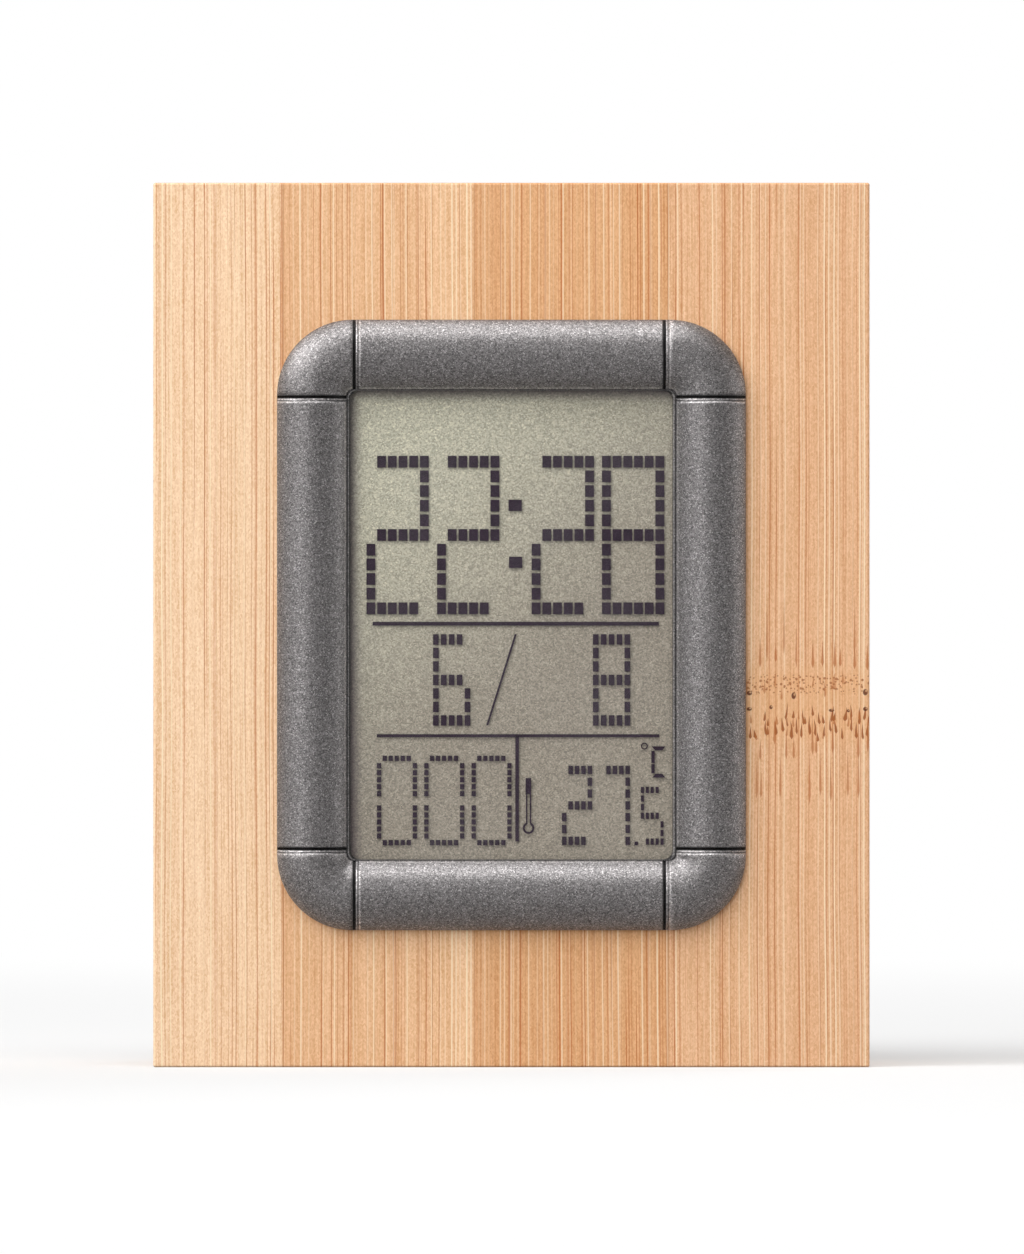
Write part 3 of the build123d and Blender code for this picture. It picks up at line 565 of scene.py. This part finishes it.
# slot: colour, grains to a millimetre, contrast, roughness, metallic, grain depth in mm
finishes = {
    "housing_plastic": (paint(54, 54, 56), 2.8, 1.8, 0.5, 0.0, 0.09),
    "key_plastic": (paint(100, 100, 103), 2.8, 0.8, 0.5, 0.0, 0.05),
    "switch_plastic": (paint(38, 38, 40), 4.0, 0.3, 0.5, 0.0, 0.01),
    "white_plastic": (paint(228, 228, 224), 2.0, 0.06, 0.5, 0.0, 0.01),
    "black_rubber": (paint(30, 30, 31), 3.0, 0.3, 0.8, 0.0, 0.02),
    "board_laminate": (paint(36, 98, 58), 1.2, 0.25, 0.4, 0.0, 0.005),
    "black_epoxy": (paint(22, 22, 23), 1.0, 0.2, 0.3, 0.0, 0.005),
    "chip_body": (paint(120, 104, 84), 2.0, 0.2, 0.5, 0.0, 0.005),
    "screw_steel": (paint(190, 190, 192), 2.5, 0.15, 0.35, 0.9, 0.005),
    "crystal_can": (paint(205, 205, 206), 2.5, 0.12, 0.3, 0.9, 0.003),
    "contact_plating": (paint(208, 206, 200), 2.0, 0.12, 0.28, 0.9, 0.003),
    "buzzer_brass": (paint(214, 178, 104), 2.0, 0.15, 0.35, 0.9, 0.004),
    "white_ceramic": (paint(224, 222, 212), 2.0, 0.08, 0.5, 0.0, 0.004),
    "reflector_film": (paint(176, 174, 160), 3.0, 0.12, 0.4, 0.3, 0.003),
    "display_glass": (paint(226, 232, 228), 0.5, 0.05, 0.12, 0.0, 0.001),
}


def makeFinish(name):
    colour, grains, contrast, roughness, metallic, depth = finishes[name]
    material, tree, shader = newMaterial(name, roughness, metallic)
    grain = addNode(tree, "ShaderNodeGroup", node_tree=mouldedGrain)
    grain.inputs["Colour"].default_value = colour
    grain.inputs["Grains"].default_value = grains
    grain.inputs["Contrast"].default_value = contrast
    grain.inputs["Polish"].default_value = roughness
    feed(tree, shader.inputs["Base Color"], grain.outputs["Colour"])
    feed(tree, shader.inputs["Roughness"], grain.outputs["Roughness"])
    addBump(tree, shader, grain.outputs["Height"], depth * mm)
    return material


# Keys: their raised marks carry pale paint

keyMark = {"height": 0.2, "paint": paint(214, 214, 212)}


def makeKeyPlastic():
    material = makeFinish("key_plastic")
    tree = material.node_tree
    base = tree.nodes["Principled BSDF"].inputs["Base Color"]
    depth = axes(tree, perMillimetre(tree))[1]
    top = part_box("mode_key")[1].y / mm
    marked = calc(tree, "GREATER_THAN", depth, top - keyMark["height"] / 2)
    feed(tree, base, mixColour(tree, marked, base.links[0].from_socket, keyMark["paint"]))
    return material


# Cell jacket: dark sleeve with a copper band at the positive end, bare steel at both ends

cellJacket = {
    "sleeve": paint(44, 52, 50),
    "band": paint(196, 138, 84),
    "steel": paint(205, 205, 203),
    "roughness": 0.32,
    "metallic": 0.35,
    "bandLength": 12.0,       # mm from the positive end
    "bandEdge": 0.1,
    "sleeved": (1.0, 44.0),
}


def makeCellJacket(name, node, upward):
    material, tree, shader = newMaterial(name, cellJacket["roughness"], cellJacket["metallic"])
    low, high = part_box(node)
    up = axes(tree, perMillimetre(tree))[2]
    end = (high.z if upward else low.z) / mm
    along = calc(tree, "MULTIPLY", calc(tree, "SUBTRACT", end, up), 1 if upward else -1)
    scuff = clouds(tree, (1.5, 1.5, 0.4), 3.0)
    banded = ease(tree, along, cellJacket["bandLength"], cellJacket["bandLength"] - cellJacket["bandEdge"])
    colour = mixColour(tree, banded, cellJacket["sleeve"], cellJacket["band"])
    first, last = cellJacket["sleeved"]
    before, after = calc(tree, "LESS_THAN", along, first), calc(tree, "GREATER_THAN", along, last)
    bare = calc(tree, "MAXIMUM", before, after)
    colour = mixColour(tree, bare, colour, cellJacket["steel"])
    feed(tree, shader.inputs["Base Color"], brighten(tree, colour, ease(tree, scuff, 0.2, 0.8, 0.9, 1.1)))
    return material


materials = {name: makeFinish(name) for name in finishes if name != "key_plastic"}
materials["key_plastic"] = makeKeyPlastic()
materials["bamboo"] = makeBamboo()
materials["gunmetal_paint"] = makeGunmetal()
materials["polarizer_film"] = makeDisplayFace()
materials["clear_lens"] = makeLens()
cellSkins = {
    "battery_cell_inner": makeCellJacket("cellJacketUp", "battery_cell_inner", True),
    "battery_cell_outer": makeCellJacket("cellJacketDown", "battery_cell_outer", False),
}
for subpart in frame["record"]["subparts"]:
    node = nodes[subpart["node"]]
    skin = cellSkins.get(subpart["node"]) or materials[subpart["material_slot"]]
    node.data.materials.clear()
    node.data.materials.append(skin)
print("materials on the CAD nodes:", len(materials))


# Meshes from grids of points

def gridQuads(rows, columns):
    # quads of a grid whose rows and columns both close on themselves
    down = np.arange(rows)[:, None]
    along = np.arange(columns)[None, :]
    nextDown = (down + 1) % rows
    nextAlong = (along + 1) % columns
    corners = ((down, along), (down, nextAlong), (nextDown, nextAlong), (nextDown, along))
    return np.stack([row * columns + column for row, column in corners], axis=-1).reshape(-1, 4)


def addPiece(name, points, quads, material, body, sharpAngle):
    mesh = bpy.data.meshes.new(name)
    mesh.from_pydata(points.reshape(-1, 3).tolist(), [], quads.tolist())
    mesh.materials.append(material)
    mesh.polygons.foreach_set("use_smooth", np.ones(len(mesh.polygons), bool))
    mesh.set_sharp_from_angle(angle=sharpAngle)
    mesh.update()
    piece = bpy.data.objects.new(name, mesh)
    bpy.context.scene.collection.objects.link(piece)
    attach(piece, body)
    return piece


# Bezel: a half-round profile carried round a rounded rectangle and lowered at eight grooves

bezel = {
    "bar": 7.85 * mm,
    "skirt": 0.5 * mm,
    "innerCorner": 0.7 * mm,
    "rimDrop": 0.1 * mm,
    "lensPlay": 0.15 * mm,
    "windowCorner": 1.1 * mm,
    "collarInset": 2.75 * mm,
    "collarCorner": 3.75 * mm,
    "collarWall": 1.8 * mm,
    "grooveWidth": 0.85 * mm,
    "grooveAt": (-0.12, 0.00, 0.04, 0.29, 0.40, 0.50, 0.55, 0.64, 0.80, 0.95),      # mm across the groove
    "grooveDrop": (0.00, 0.02, 0.35, 0.35, 0.20, 0.16, 0.20, 0.17, 0.02, 0.00),     # mm down
    "groovePaintedLight": (0.0, -0.6, -1.0, -1.0, 0.5, 0.9, -0.6, -0.3, 1.0, 0.0),        # painted highlight on the edges to painted shade in the gap
    # how far from the window to the bars the window's wall flares, and the rim's ledge and foot lie
    "flareShare": 0.35,
    "ledgeShare": 0.45,
    "footShare": 0.7,
    # painted highlight above 0, painted shade below
    "paintedLight": {"barFoot": -0.7, "barEdge": 0.6, "rimFoot": -0.75, "rim": 0.1, "wall": -0.85, "litWall": 0.8},
    "arcSteps": 24,
    "profileSteps": 40,
    "grooveSteps": 58,
    "middleSteps": 30,
    "grooveMargin": 0.2 * mm,
    "sharpAngle": 0.7,
}


def sideSteps(run):
    # positions from -run to run, close together where the grooves are
    reach = bezel["grooveWidth"] + bezel["grooveMargin"]
    near = np.linspace(run - reach, run, bezel["grooveSteps"])
    middle = np.linspace(-run + reach, run - reach, bezel["middleSteps"])[1:-1]
    return np.concatenate([-near[::-1], middle, near])


def ring(halfWidth, halfHeight, corner, steps):
    # rounded rectangle, clockwise from its upper side: points (x, z) and outward normals
    turns = np.linspace(0, np.pi / 2, bezel["arcSteps"] + 1)[1:-1]
    points, normals = [], []
    sizes = (halfHeight, halfWidth)
    for side in range(4):
        across, along = sizes if side % 2 == 0 else sizes[::-1]
        run = along - corner
        straight = np.stack([steps * run, np.full_like(steps, across)], axis=1)
        bend = np.stack([np.sin(turns), np.cos(turns)], axis=1)
        arc = np.array([run, across - corner]) + corner * bend
        outward = np.concatenate([np.tile([0.0, 1.0], (len(steps), 1)), bend])
        spin = -side * np.pi / 2
        turn = np.array([[np.cos(spin), np.sin(spin)], [-np.sin(spin), np.cos(spin)]])
        points.append(np.concatenate([straight, arc]) @ turn)
        normals.append(outward @ turn)
    return np.concatenate(points), np.concatenate(normals)


def grooveShape(along, run):
    # drop, and painted highlight and shade, at places along a side, on straight lines between the points of
    # the groove's section
    at = np.array(bezel["grooveAt"]) * mm
    drop, paintedLight = np.zeros_like(along), np.zeros_like(along)
    for start in (-run, run - bezel["grooveWidth"]):
        drop += np.interp(along - start, at, bezel["grooveDrop"], left=0, right=0) * mm
        paintedLight += np.interp(along - start, at, bezel["groovePaintedLight"], left=0, right=0)
    return drop, paintedLight


def makeBezel():
    low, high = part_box("bezel_frame")
    lensLow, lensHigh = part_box("lens")
    bar, skirt = bezel["bar"], bezel["skirt"]
    crown = frontY - low.y
    halfWidth = (high.x - low.x) / 2 - bar
    halfHeight = (high.z - low.z) / 2 - bar
    corner = bezel["innerCorner"]
    runs = (halfWidth - corner, halfHeight - corner)
    # each groove is cut in real length; upper and right sides run right or down, the other two run back
    steps = [sideSteps(run) / run for run in runs]
    count = len(steps[0])
    flat = np.zeros((2, bezel["arcSteps"] - 1))
    shapes = []
    for side, way in enumerate((1, 1, -1, -1)):
        run = runs[side % 2]
        shapes += [np.array(grooveShape(way * steps[side % 2] * run, run)), flat]
    draw, paintedLight = np.concatenate(shapes, axis=1)

    def ringOf(width, height, radius):
        points, normals = ring(width, height, radius, steps[0])
        tall = ring(width, height, radius, steps[1])[0]
        perSide = count + bezel["arcSteps"] - 1
        side = np.arange(len(points)) // perSide
        points[side % 2 == 1] = tall[side % 2 == 1]
        return points, normals

    inner, outward = ringOf(halfWidth, halfHeight, corner)

    # circular arc from edge to edge through the crown
    rise = crown - skirt
    radius = (bar * bar / 4 + rise * rise) / (2 * rise)
    tilt = np.arcsin(bar / 2 / radius) * np.linspace(-1, 1, bezel["profileSteps"])
    offset = np.concatenate([[0.0], bar / 2 + radius * np.sin(tilt), [bar]])
    height = np.concatenate([[skirt - bezel["rimDrop"]], crown - radius + radius * np.cos(tilt), [0.0]])
    lowered = np.concatenate([[0.0], np.ones_like(tilt), [0.0]])

    def place(points, depth):
        forward = np.broadcast_to(frontY - depth, len(points))
        return np.stack([points[:, 0], forward, points[:, 1] + middleZ], axis=1)

    rows = []
    for out, up, share in zip(offset, height, lowered):
        rows.append(place(inner + outward * out, up - share * draw))
    lensHalf = np.array([lensHigh.x - lensLow.x, lensHigh.z - lensLow.z]) / 2
    windowHalf = lensHalf - lensMargin
    window = ringOf(*windowHalf, bezel["windowCorner"])[0]
    flared = window + (inner - window) * bezel["flareShare"]
    ledge = window + (inner - window) * bezel["ledgeShare"]
    foot = window + (inner - window) * bezel["footShare"]
    seat = ringOf(*(lensHalf + bezel["lensPlay"]), bezel["lensPlay"])[0]
    collarHalf = (halfWidth + bar - bezel["collarInset"], halfHeight + bar - bezel["collarInset"])
    collar = ringOf(*collarHalf, bezel["collarCorner"])[0]
    wall = bezel["collarWall"]
    cavity = ringOf(collarHalf[0] - wall, collarHalf[1] - wall, bezel["collarCorner"] - wall)[0]
    rim = skirt - bezel["rimDrop"]
    lensFront, lensBack, collarBack = frontY - lensLow.y, frontY - lensHigh.y, frontY - high.y
    rows += [place(collar, 0.0), place(collar, collarBack), place(cavity, collarBack)]
    rows += [place(cavity, lensBack), place(seat, lensBack), place(seat, lensFront)]
    rows += [place(window, lensFront), place(flared, rim), place(ledge, rim), place(foot, rim)]
    points = np.array(rows)
    quads = gridQuads(len(rows), points.shape[1])
    skin = materials["gunmetal_paint"]
    piece = addPiece("bezel_frame_shaped", points, quads, skin, "case", bezel["sharpAngle"])
    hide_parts("bezel_frame")

    # painted light: the bars' inner edge carries a painted highlight, the foot of the bar and the rim's edge
    # carry painted shade as dark gaps, and the window's right wall, which faces the light, carries a painted
    # highlight
    tones = bezel["paintedLight"]
    paintedShading = np.zeros(points.shape[:2])
    paintedShading[1:len(tilt) + 1] = paintedLight
    paintedShading[1:3] = np.where(paintedLight == 0, tones["barEdge"], paintedLight)
    paintedShading[0], paintedShading[-1] = tones["barFoot"], tones["rimFoot"]
    paintedShading[-2], paintedShading[-4] = tones["rim"], tones["wall"]
    paintedShading[-3] = np.where(points[-3, :, 0] > windowHalf[0], tones["litWall"], tones["wall"])
    piece.data.attributes.new("paintedLight", "FLOAT", "POINT").data.foreach_set("value", paintedShading.ravel())


makeBezel()
print("bezel built")


# Display segments: small printed cells floating just in front of the film

tallTwo = (".#####",) + (".....#",) * 4 + (".#####",) + ("#.....",) * 4 + ("#####.",)
tallEight = ("######",) + ("#....#",) * 4 + ("######",) + ("#....#",) * 4 + ("######",)
dateSix = ("####.",) + ("#....",) * 2 + ("####.",) + ("#...#",) * 2 + ("#####",)
dateEight = ("#####",) + ("#...#",) * 2 + ("#####",) + ("#...#",) * 2 + ("#####",)
warmTwo = (".####",) + ("....#",) * 2 + (".####",) + ("#....",) * 2 + ("####.",)
warmSeven = (".####",) + ("....#",) * 6
warmFive = ("####.",) + ("#....",) * 2 + ("####.",) + ("....#",) * 2 + (".####",)

# pitch and cell size in mm: time, date, temperature and its last digit
timeSize = ((1.209, 1.658), (1.006, 1.335))
dateSize = ((0.893, 1.527), (0.644, 1.188))
warmSize = ((0.723, 1.335), (0.520, 0.950))
lastSize = ((0.554, 0.973), (0.362, 0.713))

# rows, left edge, top edge, in mm from the middle of the display, and sizes
digits = (
    (tallTwo, -16.40, 19.13, *timeSize),
    (tallTwo, -8.42, 19.13, *timeSize),
    (tallTwo, 2.28, 19.13, *timeSize),
    (tallEight, 10.23, 19.13, *timeSize),
    (dateSix, -8.87, -1.04, *dateSize),
    (dateEight, 9.21, -1.04, *dateSize),
    (warmTwo, 5.71, -15.92, *warmSize),
    (warmSeven, 9.99, -15.92, *warmSize),
    (warmFive, 14.63, -18.30, *lastSize),
)

# left, right, bottom, top in mm: colon, rules, the C's upright, decimal point, thermometer's fill and tube
bars = np.array([
    (-0.34, 1.17, 12.89, 14.17), (-0.29, 1.22, 6.44, 7.72),
    (-15.71, 16.67, -0.07, 0.36), (-15.22, 16.72, -12.70, -12.35), (0.43, 0.84, -24.49, -12.55),
    (15.81, 16.20, -15.60, -14.24), (15.81, 16.20, -16.76, -15.74),
    (13.91, 14.32, -24.92, -24.49), (1.59, 2.22, -19.10, -17.30),
    (1.63, 1.80, -22.50, -19.10), (2.06, 2.23, -22.50, -19.10),
])
# four corners each: the date's slash, the upper and lower strokes of the C
slants = np.array([
    [(0.36, -1.04), (0.60, -1.04), (-2.62, -11.34), (-2.86, -11.34)],
    [(15.83, -13.73), (17.40, -13.73), (17.05, -14.19), (16.27, -14.19)],
    [(16.27, -16.82), (17.05, -16.82), (17.40, -17.26), (15.93, -17.26)],
])
noughts = {
    "lefts": (-15.22, -9.87, -4.52),
    "top": -14.78,
    "sideTops": (-15.61, -20.39),
    "bottom": -24.31,
    "width": 4.045,
    "inset": 0.644,
    "across": 0.678,
    "down": 0.792,
    "cell": (0.49, 0.6),
    "count": 5,
}
# middle, radius, line width and the angle left open at the top: thermometer bulb, degree ring
rings = ((1.93, -22.97, 0.54, 0.24, 0.45), (15.03, -13.69, 0.33, 0.13, 0.0))
segments = {
    "gap": 0.15 * mm,
    "thickness": 0.03 * mm,
    "ink": paint(42, 27, 43),
    "roughness": 0.6,
    "specular": 0.2,
    "ringSteps": 33,
    "sharpAngle": 0.5,
}


def glyphCells(rows, left, top, pitch, cell):
    # the cell in a row and column starts at left + column * pitch and top - row * pitch
    row, column = np.nonzero(np.array([[mark == "#" for mark in line] for line in rows]))
    x = left + column * pitch[0]
    z = top - row * pitch[1]
    return np.stack([x, x + cell[0], z - cell[1], z], axis=1)


def noughtCells(left):
    # upper and lower strokes, then the two halves of the left side and of the right side
    count = noughts["count"]
    index = np.arange(count)
    width, height = noughts["cell"]
    right = left + noughts["width"]
    stroke = left + noughts["inset"] + index * noughts["across"]
    sides = [top - index * noughts["down"] for top in noughts["sideTops"]]
    x = np.concatenate([stroke, stroke, np.repeat([left, left, right, right], count)])
    z = np.concatenate([np.repeat([noughts["top"], noughts["bottom"]], count), *sides, *sides])
    return np.stack([x, x + width, z - height, z], axis=1)


def rectangleCorners(rectangles):
    left, right, bottom, top = rectangles.T
    corners = ((left, top), (right, top), (right, bottom), (left, bottom))
    return np.stack([np.stack(corner, axis=1) for corner in corners], axis=1)


def prismMesh(corners, front, back):
    # each four-cornered outline becomes a closed box between the two depths
    count = len(corners)
    points = np.zeros((count, 8, 3))
    points[:, :4, 0] = points[:, 4:, 0] = corners[:, :, 0] * mm
    points[:, :4, 2] = points[:, 4:, 2] = corners[:, :, 1] * mm + middleZ
    points[:, :4, 1] = front
    points[:, 4:, 1] = back
    box = np.array([(3, 2, 1, 0), (4, 5, 6, 7), (0, 1, 5, 4), (1, 2, 6, 5), (2, 3, 7, 6), (3, 0, 4, 7)])
    return points, (np.arange(count)[:, None, None] * 8 + box).reshape(-1, 4)


def ringMesh(x, z, radius, width, opening, front, back):
    # square section carried round a circle, with flat ends where the circle is left open
    turn = np.linspace(opening, 2 * np.pi - opening, segments["ringSteps"])
    turn = turn if opening else turn[:-1]
    nearer, farther = radius - width / 2, radius + width / 2
    rows = []
    for reach, depth in ((nearer, back), (nearer, front), (farther, front), (farther, back)):
        across = (x + reach * np.sin(turn)) * mm
        up = (z + reach * np.cos(turn)) * mm + middleZ
        rows.append(np.stack([across, np.full_like(turn, depth), up], axis=1))
    count = len(turn)
    quads = gridQuads(4, count)
    if opening:
        start = np.arange(4) * count
        inside = np.arange(len(quads)) % count < count - 1
        quads = np.concatenate([quads[inside], [start, (start + count - 1)[::-1]]])
    return np.array(rows), quads


def makeSegments():
    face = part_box("lcd_front_polarizer")[0].y
    front = face - segments["gap"] - segments["thickness"]
    back = face - segments["gap"]
    squares = [glyphCells(*digit) for digit in digits]
    squares += [noughtCells(left) for left in noughts["lefts"]] + [bars]
    corners = np.concatenate([rectangleCorners(np.concatenate(squares)), slants])
    meshes = [prismMesh(corners, front, back)] + [ringMesh(*item, front, back) for item in rings]
    start, points, quads = 0, [], []
    for pointSet, quadSet in meshes:
        pointSet = pointSet.reshape(-1, 3)
        points.append(pointSet)
        quads.append(quadSet + start)
        start += len(pointSet)
    points, quads = np.concatenate(points), np.concatenate(quads)
    material, tree, shader = newMaterial("segmentInk", segments["roughness"])
    tone = ease(tree, clouds(tree, (4, 4, 4)), 0.2, 0.8, 0.8, 1.2)
    feed(tree, shader.inputs["Base Color"], brighten(tree, segments["ink"], tone))
    shader.inputs["Specular IOR Level"].default_value = segments["specular"]
    addPiece("display_segments", points, quads, material, "case", segments["sharpAngle"])


makeSegments()
print("display segments built")


# Camera square on to the front, studio light from above and the left

cameraSetup = {
    "distance": 1.5,
    "frameHeight": 0.14177,
    "sensor": 36.0,
    "centre": (0.00006, 0.04977),
    "farLimit": 20,
}
# offset from the middle of the front, size and level
lampSetup = {
    "front": ((-0.75, -1.35, 0.50), 1.2, 0.25),
    "corner": ((-1.15, -0.62, 1.02), 1.1, 0.70),
    "top": ((-0.05, -0.60, 1.48), 1.2, 0.64),
    "fill": ((1.30, -0.30, 0.20), 0.6, 0.10),
    "back": ((1.20, 1.25, 0.28), 1.4, 0.78),
}
stageSetup = {
    "size": 8.0,
    "bounce": (0.35, 0.35, 0.35, 1),
    "seen": (0.73, 0.73, 0.73, 1),
    "white": 0.35,                # share of plain white on the floor near the clock
    "whiteReach": (0.1, 0.5),     # metres out, over which it becomes all white
    "ambient": 0.22,
    "floorBehind": (0.0, 0.3),    # metres behind the clock's middle
    "skyBehind": (0.2, 0.6),      # share of the direction that points backwards
}


def makeCamera():
    data = bpy.data.cameras.new("camera")
    data.sensor_width = cameraSetup["sensor"]
    data.lens = cameraSetup["sensor"] * cameraSetup["distance"] / cameraSetup["frameHeight"]
    data.clip_end = cameraSetup["farLimit"]
    camera = bpy.data.objects.new("camera", data)
    x, z = cameraSetup["centre"]
    camera.location = (x, frontY - cameraSetup["distance"], z)
    camera.rotation_euler = (np.pi / 2, 0, 0)
    bpy.context.scene.collection.objects.link(camera)
    bpy.context.scene.camera = camera


def makeLamp(name, towards, size, level):
    # level is the light on a surface that faces the lamp, where 1 shows a colour as it is written
    data = bpy.data.lights.new(name, "AREA")
    data.shape = "DISK"
    data.size = size
    offset = Vector(towards)
    data.energy = level * np.pi ** 2 * offset.length_squared
    lamp = bpy.data.objects.new(name, data)
    lamp.location = Vector((0, frontY, middleZ)) + offset
    lamp.rotation_mode = "QUATERNION"
    lamp.rotation_quaternion = (-offset).to_track_quat("-Z", "Y")
    bpy.context.scene.collection.objects.link(lamp)


def backdropRays(tree, place, low, high):
    # the camera and clear pieces see the white stage all round, reflections where it lies behind the clock
    path = addNode(tree, "ShaderNodeLightPath").outputs
    behind = ease(tree, axes(tree, addNode(tree, "ShaderNodeTexCoord").outputs[place])[1], low, high)
    reflected = calc(tree, "MULTIPLY", path["Is Glossy Ray"], behind)
    direct = calc(tree, "MAXIMUM", path["Is Camera Ray"], path["Is Transmission Ray"])
    return calc(tree, "MAXIMUM", direct, reflected)


def makeStage():
    half = stageSetup["size"] / 2
    mesh = bpy.data.meshes.new("floor")
    corners = [(-half, -half, 0), (half, -half, 0), (half, half, 0), (-half, half, 0)]
    mesh.from_pydata(corners, [], [(0, 1, 2, 3)])
    floor = bpy.data.objects.new("floor", mesh)
    material = bpy.data.materials.new("paleFloor")
    material.use_nodes = True
    tree = material.node_tree
    tree.nodes.clear()
    matt = addNode(tree, "ShaderNodeBsdfDiffuse")
    white = addNode(tree, "ShaderNodeEmission")
    seen = backdropRays(tree, "Object", *stageSetup["floorBehind"])
    feed(tree, matt.inputs["Color"], mixColour(tree, seen, stageSetup["bounce"], stageSetup["seen"]))
    mix = addNode(tree, "ShaderNodeMixShader")
    away = addNode(tree, "ShaderNodeVectorMath", operation="LENGTH")
    feed(tree, away.inputs[0], addNode(tree, "ShaderNodeTexCoord").outputs["Object"])
    far = ease(tree, away.outputs["Value"], *stageSetup["whiteReach"], stageSetup["white"], 1.0)
    feed(tree, mix.inputs[0], calc(tree, "MULTIPLY", seen, far))
    feed(tree, mix.inputs[1], matt.outputs[0])
    feed(tree, mix.inputs[2], white.outputs[0])
    feed(tree, addNode(tree, "ShaderNodeOutputMaterial").inputs[0], mix.outputs[0])
    mesh.materials.append(material)
    bpy.context.scene.collection.objects.link(floor)
    world = bpy.data.worlds.new("studio")
    world.use_nodes = True
    sky = world.node_tree
    background = sky.nodes["Background"]
    feed(sky, background.inputs["Color"], (1, 1, 1, 1))
    seen = backdropRays(sky, "Generated", *stageSetup["skyBehind"])
    feed(sky, background.inputs["Strength"], ease(sky, seen, 0, 1, stageSetup["ambient"], 1.0))
    bpy.context.scene.world = world


makeCamera()
for lampName, lampValues in lampSetup.items():
    makeLamp(lampName, *lampValues)
makeStage()
bpy.context.scene.view_settings.view_transform = "Standard"
print("camera, lamps and stage set")
